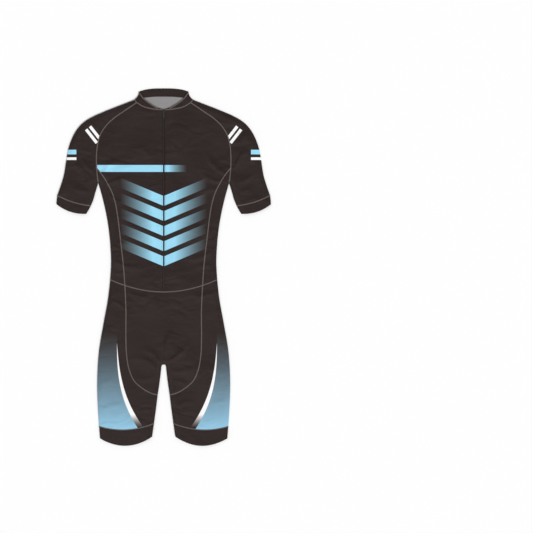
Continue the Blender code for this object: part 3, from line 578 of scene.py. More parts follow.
class Graph:
    """A material's nodes, with short ways to add them."""

    def __init__(self, name, roughness, metallic=0.0, specular=0.5, sheen=0.0):
        self.material = bpy.data.materials.new(name)
        self.material.use_nodes = True
        self.nodes = self.material.node_tree.nodes
        self.links = self.material.node_tree.links
        self.shader = self.nodes["Principled BSDF"]
        finish = {"Roughness": roughness, "Metallic": metallic, "Specular IOR Level": specular}
        self.fill(self.shader, {**finish, "Sheen Weight": sheen, "Sheen Roughness": 0.5})

    def fill(self, node, values):
        """Sets a node's sockets to numbers or colours, or links them to other nodes' outputs."""
        for name, value in values.items():
            if isinstance(value, bpy.types.NodeSocket):
                self.links.new(value, node.inputs[name])
            else:
                node.inputs[name].default_value = value

    def add(self, kind, settings=(), **values):
        node = self.nodes.new(f"ShaderNode{kind}")
        for name, setting in dict(settings).items():
            setattr(node, name, setting)
        self.fill(node, values)
        return node

    def math(self, operation, *values):
        node = self.add("Math", {"operation": operation})
        self.fill(node, dict(enumerate(values)))
        return node.outputs[0]

    def step(self, value, low, high):
        """0 where value is below low, 1 above high and a smooth step between."""
        node = self.add("MapRange", {"interpolation_type": "SMOOTHSTEP", "clamp": True}, Value=value)
        self.fill(node, {"From Min": low, "From Max": high})
        return node.outputs["Result"]

    def edge(self, value, start):
        """0 below start and 1 above it, as at a print's edge."""
        return self.step(value, start - EDGE_BLUR, start + EDGE_BLUR)

    def band(self, value, low, high):
        """1 where value is between low and high, as in a printed band."""
        return self.math("SUBTRACT", self.edge(value, low), self.edge(value, high))

    def mix(self, factor, first, second):
        node = self.add("Mix", {"data_type": "RGBA"}, Factor=factor, A=first, B=second)
        return node.outputs["Result"]

    def fade(self, factor, first, second, stops=9):
        """A dye that goes evenly from one screen colour to another as factor goes from 0 to 1."""
        node = self.add("ValToRGB", Fac=factor)
        band = node.color_ramp
        band.interpolation = "LINEAR"
        while len(band.elements) < stops:
            band.elements.new(0.5)
        for number, element in enumerate(band.elements):
            element.position = number / (stops - 1)
            element.color = dyed(blend(first, second, element.position))
        return node.outputs["Color"]

    def ratio(self, value, start, end):
        """How far value has gone from start to end, as a share."""
        return self.math("DIVIDE", self.math("SUBTRACT", value, start), end - start)

    def noise(self, x, y, size, detail, distortion):
        """Soft random blots of about this width and height, in millimetres."""
        x, y = self.math("DIVIDE", x, size[0]), self.math("DIVIDE", y, size[1])
        where = self.add("CombineXYZ", X=x, Y=y).outputs["Vector"]
        shape = dict(Scale=1.0, Detail=detail, Roughness=0.4, Distortion=distortion)
        return self.add("TexNoise", Vector=where, **shape).outputs["Fac"]

    def place(self):
        """X, Y and Z on the suit, in millimetres."""
        where = self.add("TexCoord").outputs["Object"]
        scaled = self.add("VectorMath", {"operation": "SCALE"}, Scale=1000, Vector=where)
        return self.add("SeparateXYZ", Vector=scaled.outputs[0]).outputs

    def bump(self, height, distance, strength=0.5):
        node = self.add("Bump", Strength=strength, Distance=distance, Height=height)
        socket = self.shader.inputs["Normal"]
        if socket.is_linked:
            self.fill(node, {"Normal": socket.links[0].from_socket})
        self.links.new(node.outputs["Normal"], socket)

    def colour(self, value):
        self.fill(self.shader, {"Base Color": value})


KNIT_PITCH = 0.85  # millimetres from one wale of the knit to the next
COURSE_PITCH = 0.62
KNIT_DEPTH = 0.00022
ARCH_SHIFT = 1.6  # how far a wale's middle is ahead of its edges, in radians of a course
LOOP_HEIGHT = 0.5
WRINKLE_SIZE = (62, 36)
WRINKLE_PATCH = (170, 130)
WRINKLED = (0.30, 0.62)  # where the patches' noise turns from smooth cloth to wrinkled
WRINKLE_LEAST = 0.35
WRINKLE_DEPTH = 0.0034
RIB_PITCH = 1.4
RIB_COURSE = 1.1
RIB_DEPTH = 0.00032
TWILL = 5.2  # radians of the tape's twill to a millimetre
TWILL_DEPTH = 0.0001
KNIT_FINISH = dict(roughness=0.50, specular=0.25, sheen=0.0)
EDGE_BLUR = 0.5  # how soft a print's edges are to each side, in millimetres


def small_wrinkles(graph, x, y):
    """Soft uneven dents, longer across the body than along it, that come and go."""
    dents = graph.noise(x, y, WRINKLE_SIZE, detail=1.5, distortion=0.9)
    patches = graph.step(graph.noise(x, y, WRINKLE_PATCH, detail=0.0, distortion=0.0), *WRINKLED)
    graph.bump(graph.math("MULTIPLY", dents, graph.math("ADD", patches, WRINKLE_LEAST)), WRINKLE_DEPTH, 1.0)


def knit_bump(graph, x, y, distance=KNIT_DEPTH, wale=KNIT_PITCH, course=COURSE_PITCH):
    """Fine loops: columns of small arches, over small wrinkles."""
    small_wrinkles(graph, x, y)
    across = graph.math("SINE", graph.math("MULTIPLY", x, 2 * math.pi / wale))
    shift = graph.math("MULTIPLY", graph.math("ABSOLUTE", across), ARCH_SHIFT)
    up = graph.math("ADD", graph.math("MULTIPLY", y, 2 * math.pi / course), shift)
    loops = graph.math("MULTIPLY", graph.math("SINE", up), LOOP_HEIGHT)
    graph.bump(graph.math("ADD", graph.math("ABSOLUTE", across), loops), distance)


def plain_knit(name, colour, loops=(), finish=KNIT_FINISH):
    graph = Graph(name, **finish)
    x, y, _ = graph.place()
    graph.colour(dyed(colour))
    knit_bump(graph, x, y, *loops)
    return graph.material


# Places of the prints, in millimetres from the suit's centre
CHEVRON_LOWS = (2, 48, 94, 140, 186)  # the heights of the bands' points on the centre line
CHEVRON_WIDTH = 30
CHEVRON_SLOPE = 0.42
CHEVRON_FADE = (34, 132)
BAR = (289.7, 310.7)
BAR_FADE = (14, 70)


def body_print(name):
    """Black-brown knit with a light blue bar over the chest and five chevrons below it."""
    graph = Graph(name, **KNIT_FINISH)
    x, y, _ = graph.place()
    off = graph.math("ABSOLUTE", x)
    level = graph.math("SUBTRACT", y, graph.math("MULTIPLY", off, CHEVRON_SLOPE))
    bands = 0.0
    for low in CHEVRON_LOWS:
        bands = graph.math("ADD", bands, graph.band(level, low, low + CHEVRON_WIDTH))
    chevrons = graph.fade(graph.ratio(off, *CHEVRON_FADE), SKY_BLUE, BLACK_BROWN)
    colour = graph.mix(bands, dyed(BLACK_BROWN), chevrons)
    bar = graph.fade(graph.ratio(x, *BAR_FADE), SKY_BLUE, BLACK_BROWN)
    graph.colour(graph.mix(graph.band(y, *BAR), colour, bar))
    knit_bump(graph, x, y)
    return graph.material


def on_front(graph, z):
    """1 on the front and 0 on the back."""
    return graph.edge(z, 1000 * FOLD_RADIUS)


THIGH_FADE = (-199.0, -497.9)  # the heights between which the thigh turns light blue
STRIPE_TOP, STRIPE_END = -231.2, -488.2
STRIPE_OUTER, STRIPE_BEND, STRIPE_POWER = 142.3, 62.0, 2.7
STRIPE_OUT_LEFT = 20.0  # how much further out the stripe is on the wearer's left thigh
STRIPE_OUT_BACK = 26.1  # and on the back of both
STRIPE_WIDTH = 18.0
STRIPE_FADE = (-450.0, -489.0)


def leg_print(name):
    """Black-brown knit that fades to light blue down the thigh, outside a white curved stripe."""
    graph = Graph(name, **KNIT_FINISH)
    x, y, z = graph.place()
    off = graph.math("ABSOLUTE", x)
    down = graph.math("MAXIMUM", graph.ratio(y, STRIPE_TOP, STRIPE_END), 0.0)
    bend = graph.math("MULTIPLY", graph.math("POWER", down, STRIPE_POWER), STRIPE_BEND)
    left = graph.math("MULTIPLY", graph.step(x, -1, 1), STRIPE_OUT_LEFT)
    back = graph.math("MULTIPLY", graph.math("SUBTRACT", 1.0, on_front(graph, z)), STRIPE_OUT_BACK)
    start = graph.math("ADD", graph.math("MAXIMUM", left, back), STRIPE_OUTER)
    outer = graph.math("SUBTRACT", off, graph.math("SUBTRACT", start, bend))
    inner = graph.math("ADD", outer, graph.math("MULTIPLY", down, STRIPE_WIDTH))
    blue = graph.fade(graph.ratio(y, *THIGH_FADE), BLACK_BROWN, THIGH_BLUE, stops=17)
    colour = graph.mix(graph.edge(outer, 0), dyed(BLACK_BROWN), blue)
    stripe = graph.math("SUBTRACT", graph.edge(inner, 0), graph.edge(outer, 0))
    white = graph.fade(graph.ratio(y, *STRIPE_FADE), WHITE, BLACK_BROWN)
    graph.colour(graph.mix(stripe, colour, white))
    knit_bump(graph, x, y)
    return graph.material


DASH_CENTRE = (214, 403)
DASH_TURN = 52.0
DASH_HALF = 26
DASH_ROWS = ((-12, -3), (3, 12))
SLEEVE_BARS = ((343, 357, SKY_BLUE), (326, 334, WHITE))
SLEEVE_BAR_START = 266


def sleeve_print(name):
    """Black-brown knit: two white dashes on the shoulder's front and two bars on the outer fold."""
    graph = Graph(name, **KNIT_FINISH)
    x, y, z = graph.place()
    off = graph.math("ABSOLUTE", x)
    colour = dyed(BLACK_BROWN)
    turn = math.radians(DASH_TURN)
    right = graph.math("SUBTRACT", off, DASH_CENTRE[0])
    up = graph.math("SUBTRACT", y, DASH_CENTRE[1])
    along, across = (
        graph.math(way, graph.math("MULTIPLY", a, math.cos(turn)), graph.math("MULTIPLY", b, math.sin(turn)))
        for way, a, b in (("ADD", right, up), ("SUBTRACT", up, right))
    )
    inside = graph.math("MULTIPLY", graph.band(along, -DASH_HALF, DASH_HALF), on_front(graph, z))
    for low, high in DASH_ROWS:
        dash = graph.math("MULTIPLY", graph.band(across, low, high), inside)
        colour = graph.mix(dash, colour, dyed(WHITE))
    beyond = graph.edge(off, SLEEVE_BAR_START)
    for low, high, tint in SLEEVE_BARS:
        bar = graph.math("MULTIPLY", graph.band(y, low, high), beyond)
        colour = graph.mix(bar, colour, dyed(tint))
    graph.colour(colour)
    knit_bump(graph, x, y)
    return graph.material


def plain(name, colour, roughness, metallic=0.0, specular=0.5):
    graph = Graph(name, roughness, metallic, specular)
    graph.colour(colour)
    return graph.material


def woven(name, colour):
    """The zip's tape: a fine twill."""
    graph = Graph(name, 0.7, specular=0.25)
    x, y, _ = graph.place()
    slant = graph.math("ADD", graph.math("MULTIPLY", x, TWILL), graph.math("MULTIPLY", y, TWILL))
    graph.bump(graph.math("SINE", slant), TWILL_DEPTH)
    graph.colour(dyed(colour))
    return graph.material


lining = plain_knit("grey inside of the knit", LINING_GREY, finish=dict(roughness=0.85, specular=0.2))
black_knit = plain_knit("black knit", BLACK_BROWN)
printed_body = body_print("printed body knit")
printed_leg = leg_print("printed leg knit")
printed_sleeve = sleeve_print("printed sleeve knit")
double_knit = plain_knit("double knit", BLACK_BROWN, (RIB_DEPTH, RIB_PITCH, RIB_COURSE))
# The seam cover and thread also make the painted highlight along the collar's front edge
cover_thread = plain("seam cover", dyed(SEAM_AND_HIGHLIGHT_GREY), 0.7, specular=0.3)
needle_thread = plain("seam thread", dyed(THREAD_AND_HIGHLIGHT_GREY), 0.6, specular=0.3)
dark_cover = plain("dark seam cover", dyed(DARK_SEAM), 0.7, specular=0.3)
dark_thread = plain("dark thread", dyed(DARK_THREAD), 0.6, specular=0.3)
tape_cloth = woven("zip tape", ZIP_BLACK)
coil = plain("zip coil", dyed(ZIP_BLACK), 0.40, specular=0.4)
metal = plain("zip metal", rgba(GUNMETAL), 0.38, metallic=0.6)


# Objects


def link(name, data):
    """A new object in the scene."""
    made = bpy.data.objects.new(name, data)
    bpy.context.scene.collection.objects.link(made)
    return made


def mesh_object(name, points, faces, finish):
    mesh = bpy.data.meshes.new(name)
    mesh.from_pydata(np.asarray(points).tolist(), [], np.asarray(faces).tolist())
    mesh.shade_smooth()
    mesh.materials.append(finish)
    return link(name, mesh)


def settle(piece, node=None, body="suit"):
    """Puts a piece on its body, and hides the solid whose place it takes where it has one."""
    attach(piece, body)
    if node:
        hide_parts(node)


def skin(net, sides, mirrored):
    """A net's points in space and its faces, which point out of the suit."""
    flat = net.reshape(-1, 2)
    quads = grid(*net.shape[:2])
    sides = sides.reshape(-1)
    heights = skin_height(flat, sides, mirrored)
    if mirrored:
        flat = flat * (-1, 1)
    first, second, third = (flat[quads[:, corner]] for corner in range(3))
    before, after = second - first, third - second
    turn = before[:, 0] * after[:, 1] - before[:, 1] * after[:, 0]
    if (turn * sides[quads].sum(1)).sum() < 0:
        quads = quads[:, ::-1]
    return np.column_stack([flat, heights]), quads


def finish_cloth(piece, node, wall, inner):
    """Gives the skin its wall, with the inside in its own finish, and its solid's place."""
    shell = piece.modifiers.new("wall", "SOLIDIFY")
    shell.thickness = wall
    shell.offset = -1
    shell.use_quality_normals = True
    if inner is not None:
        piece.data.materials.append(inner)
        shell.material_offset = 1
        shell.material_offset_rim = 0
    settle(piece, node)


def cloth_pair(node, net, sides, finish, slot, wall=WALL, inner=lining):
    for end, mirrored in (("left", False), ("right", True)):
        piece = mesh_object(f"{node}_{end}_cloth", *skin(net, sides, mirrored), finish)
        finish_cloth(piece, f"{node}_{end}", wall, inner)


def cloth_whole(node, net, sides, finish, slot, wall=WALL, inner=lining):
    """One piece across the centre line, from its left half and the mirrored one."""
    halves = joined([skin(net, sides, False), skin(net, sides, True)])
    piece = mesh_object(f"{node}_cloth", *halves, finish)
    weld = piece.modifiers.new("centre line", "WELD")
    weld.merge_threshold = MERGE
    finish_cloth(piece, node, wall, inner)


def joined(parts):
    """Several sets of points and faces as one."""
    points, faces, start = [], [], 0
    for some_points, some_faces in parts:
        points.append(some_points)
        faces.append(some_faces + start)
        start += len(some_points)
    return np.concatenate(points), np.concatenate(faces)


# The pieces of cloth


def half_net(outer_lines, top, bottom, count):
    """A net from the centre or the zip out to these lines."""
    outer = chain(*(cut(line, steps_for(line)) for line in outer_lines))
    centre = matched(np.array([top[0], bottom[0]]), outer)
    net = patch(centre, outer, top, bottom, count)
    inset(net, "top", "bottom", "right")
    return net


def crotch_net(top, side, count):
    """A net from a line across the suit down to the crotch, and out to a seam."""
    even = np.linspace(0, 1, count + 1)
    arch = sample(fold_crotch, CROTCH_EVEN * even + (1 - CROTCH_EVEN) * even**CROTCH_POWER)
    top = cut(top, count)
    centre = np.array([top[0], fold_crotch[0]])
    return patch(top, arch, centre, side, steps_for(side), end=SEAM_ROLL)


def limb_half(seam, free, outer_fold, top, bottom, count):
    """One layer of a sleeve or leg: from its seam and the free fold below it to its outer fold."""
    free_count = steps_for(free)
    inner = chain(seam, cut(free, free_count))
    net = patch(inner, matched(outer_fold, inner), top, bottom, count, start=SEAM_ROLL, end=ROLL)
    sewn = np.ones(len(inner))
    sewn[-free_count:] = 0
    inset(net, "top", "bottom")
    inset(net, "left", share=sewn)
    return net


def fronts():
    net = half_net((line_raglan_front, line_side_front), line_neck_front, line_front_waist, UPPER_COLUMNS)
    cloth_pair("front", *one_side(net, 1), printed_body, "front_knit")


def back_upper():
    net = half_net((line_raglan_back, line_side_back), line_neck_back, line_back_waist, UPPER_COLUMNS)
    net[:, 0, 0] = 0
    cloth_whole("back_upper", *one_side(net, -1), printed_body, "knit")


def side_panels():
    count = steps_for(line_side_front)
    halves = []
    for seam, across in (
        (line_side_front, line_front_waist_side),
        (line_side_back, line_back_waist_side),
    ):
        seam = cut(seam, count)
        outer = matched(fold_body, seam)
        half = patch(seam, outer, line_raglan_under, across, PANEL_COLUMNS, end=ROLL)
        inset(half, "top", "bottom", "left")
        halves.append(half)
    cloth_pair("side_panel", *wrapped(*halves), black_knit, "knit")


def sleeves():
    under = cut(line_raglan_under, UNDERARM_STEPS, end=ROLL)
    halves = []
    for raglan, neck in ((line_raglan_front, line_neck_side), (line_raglan_back, line_neck_back_side)):
        seam = chain(cut(raglan, RAGLAN_STEPS), under)
        halves.append(limb_half(seam, fold_underarm, fold_shoulder, neck, line_cuff, LIMB_COLUMNS))
    cloth_pair("sleeve", *wrapped(*halves), printed_sleeve, "knit")


def legs():
    front = cut(line_leg_front, LEG_FRONT_STEPS, end=SEAM_ROLL)
    back = chain(cut(line_hip, HIP_STEPS), cut(line_seat, SEAT_STEPS, end=SEAM_ROLL))
    halves = (
        limb_half(seam, fold_inner_leg, fold_leg, across, line_band, LEG_COLUMNS)
        for seam, across in ((front, line_front_waist_side), (back, line_back_waist_side))
    )
    cloth_pair("leg_panel", *wrapped(*halves), printed_leg, "leg_knit")


def front_lower():
    net = crotch_net(line_front_waist_whole, line_leg_front, CROTCH_COLUMNS)
    inset(net, "left", "bottom")
    net[0, :, 0] = 0
    cloth_whole("front_lower", *one_side(net, 1), black_knit, "knit")


def back_lower():
    net = half_net((line_hip,), line_back_waist, line_yoke, LOWER_BACK_COLUMNS)
    net[:, 0, 0] = 0
    cloth_whole("back_lower", *one_side(net, -1), black_knit, "knit")


def seats():
    net = crotch_net(line_yoke, line_seat, SEAT_COLUMNS)
    inset(net, "left", "top", "bottom")
    cloth_pair("seat", *one_side(net, -1), black_knit, "knit")


def collar():
    side_front = cut(line_neck_side, NECK_SIDE_STEPS, end=ROLL)
    side_back = cut(line_neck_back_side, NECK_BACK_SIDE_STEPS, end=ROLL)
    base_front = chain(cut(line_neck_front, NECK_FRONT_STEPS), side_front)
    base_back = chain(cut(line_neck_back, NECK_BACK_STEPS), side_back)
    layers = []
    for base, edge in ((base_front, line_opening), (base_back, line_collar_top)):
        edge = cut(edge, NECK_FRONT_STEPS + NECK_SIDE_STEPS, end=ROLL)
        layer = patch(base, edge, np.array([base[0], edge[0]]), fold_neck, COLLAR_COLUMNS)
        inset(layer, "left")
        layers.append(layer.swapaxes(0, 1))
    net, sides = wrapped(*layers)
    net[:, -1, 0] = 0
    cloth_whole("collar", net, sides, double_knit, "band", BAND_WALL, None)


def end_bands(node, inner_fold, outer_fold, seam, hem):
    inner, outer = cut(inner_fold, BAND_STEPS), cut(outer_fold, BAND_STEPS)
    half = patch(inner, outer, seam, hem, LIMB_COLUMNS, start=SEAM_ROLL, end=ROLL)
    inset(half, "top")
    cloth_pair(node, *wrapped(half, half.copy()), double_knit, "band", BAND_WALL, None)


fronts()
back_upper()
side_panels()
sleeves()
legs()
front_lower()
back_lower()
seats()
collar()
end_bands("cuff", fold_cuff_inner, fold_cuff_outer, line_cuff, line_cuff_hem)
end_bands("leg_band", fold_band_inner, fold_band_outer, line_band, line_band_hem)


# Seams


Stretch = namedtuple("Stretch", "line side from_fold to_fold", defaults=(False, False))


def unit(vectors):
    return vectors / np.maximum(np.linalg.norm(vectors, axis=-1), 1e-12)[..., None]


def smoothed(values):
    """Rows of vectors with small kinks taken out."""
    for _ in range(2):
        padded = np.concatenate([values[:1], values, values[-1:]])
        values = (padded[:-2] + 2 * padded[1:-1] + padded[2:]) / 4
    return values


class Seam:
    """A line on the suit's skin, with the skin's directions along it: along, across and out."""

    def __init__(self, middle, across, out, curve=None):
        self.middle, self.across, self.out, self.curve = middle, across, out, curve
        self.reach = reach(middle)
        self.length = self.reach[-1]

    def along(self, rows, at):
        """Rows of vectors as they are this far along the seam."""
        return np.stack([np.interp(at, self.reach, rows[:, axis]) for axis in range(3)], -1)

    def at(self, along, off, lift):
        """Points this far along the seam, off its middle and above the skin."""
        along, off, lift = np.broadcast_arrays(along, off, lift)
        middle, across = self.along(self.middle, along), unit(self.along(self.across, along))
        out = self.out_at(along)
        off, lift = off[..., None], lift[..., None]
        if self.curve is None:
            return middle + off * across + lift * out
        turn = off / self.curve
        radius = self.curve + lift
        return middle - self.curve * out + radius * (np.cos(turn) * out + np.sin(turn) * across)

    def out_at(self, along):
        return unit(self.along(self.out, along))


def dense_cut(line, **rolls):
    return cut(line, max(4, int(reach(line)[-1] / DENSE)), **rolls)


def laid_seam(stretches, mirrored):
    """A seam over one or more stretches of the front and the back."""
    middles, acrosses = [], []
    for line, side, from_fold, to_fold in stretches:
        plan = dense_cut(line, start=FINE_ROLL if from_fold else (), end=FINE_ROLL if to_fold else ())
        along = unit(np.gradient(plan, axis=0))
        shift = PROBE * side * np.column_stack([-along[:, 1], along[:, 0]])
        before, middle, after = (
            np.column_stack([place, skin_height(place, side, mirrored)])
            for place in (plan - shift, plan, plan + shift)
        )
        middles.append(middle)
        acrosses.append(unit(after - before))
    middle, across = np.concatenate(middles), np.concatenate(acrosses)
    apart = np.linalg.norm(np.diff(middle, axis=0), axis=1) > 1e-6
    keep = np.concatenate([[True], apart])
    middle, across = middle[keep], smoothed(across[keep])
    along = unit(smoothed(np.gradient(middle, axis=0)))
    out = unit(np.cross(along, across))
    if mirrored:
        middle, across, out = (rows * (-1, 1, 1) for rows in (middle, across, out))
    return Seam(middle, across, out)


def fold_seam(lines, mirrored):
    """A seam that runs along the suit's outline, where the two layers meet."""
    plan = chain(*(dense_cut(line) for line in lines))
    along = unit(smoothed(np.gradient(plan, axis=0)))
    out = np.column_stack([along[:, 1], -along[:, 0], np.zeros(len(plan))])
    middle = np.column_stack([plan, np.full(len(plan), FOLD_RADIUS)])
    across = np.tile([0.0, 0.0, 1.0], (len(plan), 1))
    if mirrored:
        middle, out = middle * (-1, 1, 1), out * (-1, 1, 1)
    return Seam(middle, across, out, FOLD_RADIUS)


def round_fold(front, back):
    """A seam over the front that goes round a fold and on over the back. Its lines start inside."""
    stretches = [Stretch(line, 1, to_fold=line is front[-1]) for line in front]
    return stretches + [Stretch(line[::-1], -1, from_fold=line is back[0]) for line in back]


def ring(line):
    return [Stretch(line, 1, True, True), Stretch(line[::-1], -1, True, True)]


SEAMS = (
    round_fold([line_raglan_front, line_raglan_under], [line_raglan_under, line_raglan_back]),
    [Stretch(line_side_front, 1)],
    [Stretch(line_side_back, -1)],
    round_fold([line_front_waist_whole, line_front_waist_side], [line_back_waist_side, line_back_waist]),
    [Stretch(line_leg_front, 1, to_fold=True)],
    [Stretch(line_hip, -1), Stretch(line_seat, -1, to_fold=True)],
    [Stretch(line_yoke, -1)],
    ring(line_cuff),
    ring(line_band),
    round_fold([line_neck_front, line_neck_side], [line_neck_back_side, line_neck_back]),
)
FOLD_SEAMS = (
    (fold_underarm, fold_cuff_inner),
    (fold_crotch, fold_inner_leg, fold_band_inner),
)


def strip(seam):
    """The flat, slightly domed cover along a seam: its points and faces."""
    count = max(2, int(seam.length / COVER_STEP))
    along = np.linspace(0, seam.length, count)[:, None]
    offs = np.array([-1.0, -0.8, 0.0, 0.8, 1.0]) * COVER_HALF
    lifts = np.array([-0.15, 0.7, 1.0, 0.7, -0.15]) * COVER_LIFT
    points = seam.at(along, offs[None], lifts[None]).reshape(-1, 3)
    quads = grid(count, len(offs))
    corners = points[quads[:, :3]]
    normal = np.cross(corners[:, 1] - corners[:, 0], corners[:, 2] - corners[:, 1])
    outward = seam.out_at(along[:-1, 0]).repeat(len(offs) - 1, axis=0)
    if (normal * outward).sum() < 0:
        quads = quads[:, ::-1]
    return points, quads


def tubes(paths, out, radius, sides=4, ends=0.4):
    """Short threads along many paths at once, shaped (threads, points, 3), with closed ends."""
    count, stops = paths.shape[:2]
    along = unit(np.gradient(paths, axis=1))
    beside = unit(np.cross(along, out[:, None]))
    above = unit(np.cross(beside, along))
    sizes = np.full(stops, radius)
    sizes[[0, -1]] *= ends
    rings = []
    for side in range(sides):
        angle = 2 * math.pi * (side + 0.5) / sides
        arm = math.cos(angle) * beside + math.sin(angle) * above
        rings.append(paths + sizes[None, :, None] * arm)
    points = np.stack(rings, axis=2).reshape(-1, 3)
    index = np.arange(stops * sides).reshape(stops, sides)
    after = np.roll(index, -1, axis=1)
    quads = [np.stack([index[:-1], after[:-1], after[1:], index[1:]], axis=2).reshape(-1, 4)]
    if sides == 4:
        quads += [index[:1, ::-1], index[-1:]]
    quads = np.concatenate(quads)
    starts = np.arange(count)[:, None, None] * stops * sides
    return points, (quads[None] + starts).reshape(-1, 4)


def dashes(seam, off, radius=THREAD):
    """A row of needle stitches."""
    count = max(1, int(seam.length / STITCH_PITCH))
    starts = (np.arange(count) + 0.5) * seam.length / count - STITCH_LENGTH / 2
    along = starts[:, None] + STITCH_LENGTH * np.array([0.0, 0.22, 0.78, 1.0])
    lift = COVER_LIFT + radius * np.array([-1.2, 0.5, 0.5, -1.2])
    return tubes(seam.at(along, off, lift[None]), seam.out_at(starts), radius)


def zigzags(seam):
    """The looper thread, from one needle row to the other and back."""
    count = max(2, 2 * int(seam.length / STITCH_PITCH))
    starts = np.arange(count) * seam.length / count
    share = np.array([0.0, 0.25, 0.75, 1.0])
    along = starts[:, None] + seam.length / count * share
    way = np.where(np.arange(count) % 2, 1.0, -1.0)[:, None]
    off = way * ZIGZAG_HALF * (2 * share - 1)
    lift = COVER_LIFT + THREAD * np.array([-0.5, 0.4, 0.4, -0.5])
    return tubes(seam.at(along, off, lift[None]), seam.out_at(starts), THREAD)


def split_layers(points, faces):
    """The faces on the front and those on the back, each with only its own points."""
    middle = points[faces].mean(axis=1)[:, 2]
    for name, chosen in (("front", middle >= FOLD_RADIUS), ("back", middle < FOLD_RADIUS)):
        used, numbers = np.unique(faces[chosen], return_inverse=True)
        yield name, points[used], numbers.reshape(-1, 4)


def add_detail(name, parts, finish):
    for layer, points, faces in split_layers(*joined(parts)):
        settle(mesh_object(f"{name}_{layer}", points, faces, finish))


def add_seams(name, seams, cover, thread):
    add_detail(f"{name}_cover", [strip(seam) for seam in seams], cover)
    rows = [dashes(seam, off) for seam in seams for off in (-NEEDLE_ROW, NEEDLE_ROW)]
    add_detail(f"{name}_needle_rows", rows, thread)
    add_detail(f"{name}_zigzag", [zigzags(seam) for seam in seams], thread)


def edge_highlight_stitching():
    """The line of stitching along the collar's front edge, on the collar: in the seams' light grey, it is a
    painted highlight of that edge.
    """
    along = unit(np.gradient(line_opening, axis=0))
    row = line_opening + HIGHLIGHT_ROW * np.column_stack([along[:, 1], -along[:, 0]])
    from_seam, _ = Nearest([line_neck_front], FOLD_FINE)(row)
    return row[(reach(row) < reach(row)[-1] - HIGHLIGHT_END) & (from_seam > 2 * COVER_HALF)]


def low_dashes(seam):
    """Stitches straight on the cloth, with no cover under them."""
    points, faces = dashes(seam, 0.0, HEM_THREAD)
    return points - COVER_LIFT * np.sign(points[:, 2:] - FOLD_RADIUS) * (0, 0, 1), faces


def pairs_of(seams):
    """Each seam on the wearer's left and on the right."""
    return [laid_seam(stretches, mirrored) for stretches in seams for mirrored in (False, True)]


laid_seams = pairs_of(SEAMS)
laid_seams.append(laid_seam([Stretch(line_centre_back, -1, to_fold=True)], False))
# Stitching along the collar's front edge, whose light grey is a painted highlight
laid_seams += pairs_of([[Stretch(edge_highlight_stitching(), 1)]])
fold_seams = [fold_seam(lines, mirrored) for lines in FOLD_SEAMS for mirrored in (False, True)]
add_seams("seam", laid_seams, cover_thread, needle_thread)
add_seams("fold_seam", fold_seams, dark_cover, dark_thread)

hem_rows = []
for seam_line, hem_line in ((line_cuff, line_cuff_hem), (line_band, line_band_hem)):
    for share in HEM_SHARES:
        line = ((1 - share) * seam_line + share * hem_line)[HEM_END_POINTS:-HEM_END_POINTS]
        hem_rows += pairs_of([[Stretch(line, side)] for side in (1, -1)])
zip_line = sample(points_of(*ZIP_ROW), np.linspace(0, 1, CURVE_POINTS))
hem_rows += pairs_of([[Stretch(zip_line, 1)]])
add_detail("topstitching", [low_dashes(seam) for seam in hem_rows], dark_thread)


# The zip

CLOTH_TOP = LAY_HEIGHT + ZIP_RIDGE
TAPE_TOP = CLOTH_TOP - BAND_WALL - SEAM_GAP
CHAIN_BASE = TAPE_TOP + SEAM_GAP
TOOTH_PITCH = 0.00125
TOOTH_RADIUS = 0.00040
# One loop of the coil: across, as a share of its reach, and up, as a share of the chain's height
TOOTH_LOOP = ((1.0, -0.55), (1.06, -0.15), (0.86, 0.0), (0.1, 0.0), (-0.42, -0.08), (-0.62, -0.5))
CORE_WIDTH, CORE_HEIGHT = 0.86, 0.45  # as shares of the chain's
STOP_SIZE = (0.0038, 0.0030, 0.0018)
# The slider's plate: the place along the zip and the half width there
PLATE_HALF_WIDTHS = (
    (0.0050, 0.0028),
    (0.0042, 0.0039),
    (0.0005, 0.0039),
    (-0.0032, 0.0030),
    (-0.0050, 0.0026),
)
PLATE_THICKNESS = 0.0010
STEM = (0.0034, 0.0088)
BRIDGE_HALF = 0.0007
BRIDGE_REACH = 0.0026
BRIDGE_WALL = 0.0006
BRIDGE_ROUND = 0.7  # 1 is a plain oval, and less is a squarer arch
BRIDGE_FOOT = 0.0002  # how deep it stands in the plate
PULL_WIDTH = 0.0054
PULL_LENGTH = 0.0240
PULL_THICKNESS = 0.0010
PULL_EYE = (0.0024, 0.0048)
PULL_EYE_RADIUS = 0.0010
PULL_RIM = 0.0010
PULL_TOP, PULL_WAIST = 0.86, 0.80  # the pull's width at its top and waist, as shares of its own
PULL_WAIST_DROP, PULL_WAIST_LENGTH = 0.0030, 0.0040
PULL_DROOP = 3.2
PULL_HOLE = (0.0026, 0.0070)
PLATE_LOW = CLOTH_TOP + SEAM_GAP
PULL_AXIS = PLATE_LOW + PLATE_THICKNESS + SEAM_GAP / 2 + PULL_EYE_RADIUS
SLIDER_Y = TOP - SLIDER_DROP


def box(name, size, middle, finish, bevel):
    half = np.array(size) / 2
    signs = np.array([(x, y, z) for z in (-1, 1) for y in (-1, 1) for x in (-1, 1)])
    faces = [(0, 2, 3, 1), (4, 5, 7, 6), (0, 1, 5, 4), (2, 6, 7, 3), (0, 4, 6, 2), (1, 3, 7, 5)]
    made = mesh_object(name, signs * half + middle, faces, finish)
    edge = made.modifiers.new("rounded edges", "BEVEL")
    edge.width = bevel
    edge.segments = 3
    return made


def tapes():
    top, end = TOP - TAPE_TOP_DROP, line_front_waist_whole[0, 1] + SEAM_GAP
    for name, sign in (("zip_tape_left", 1), ("zip_tape_right", -1)):
        middle = (sign * (TAPE_WIDTH + SEAM_GAP) / 2, (top + end) / 2, TAPE_TOP - WALL / 2)
        tape = box(f"{name}_woven", (TAPE_WIDTH, top - end, WALL), middle, tape_cloth, bevel=0.0002)
        settle(tape, name)


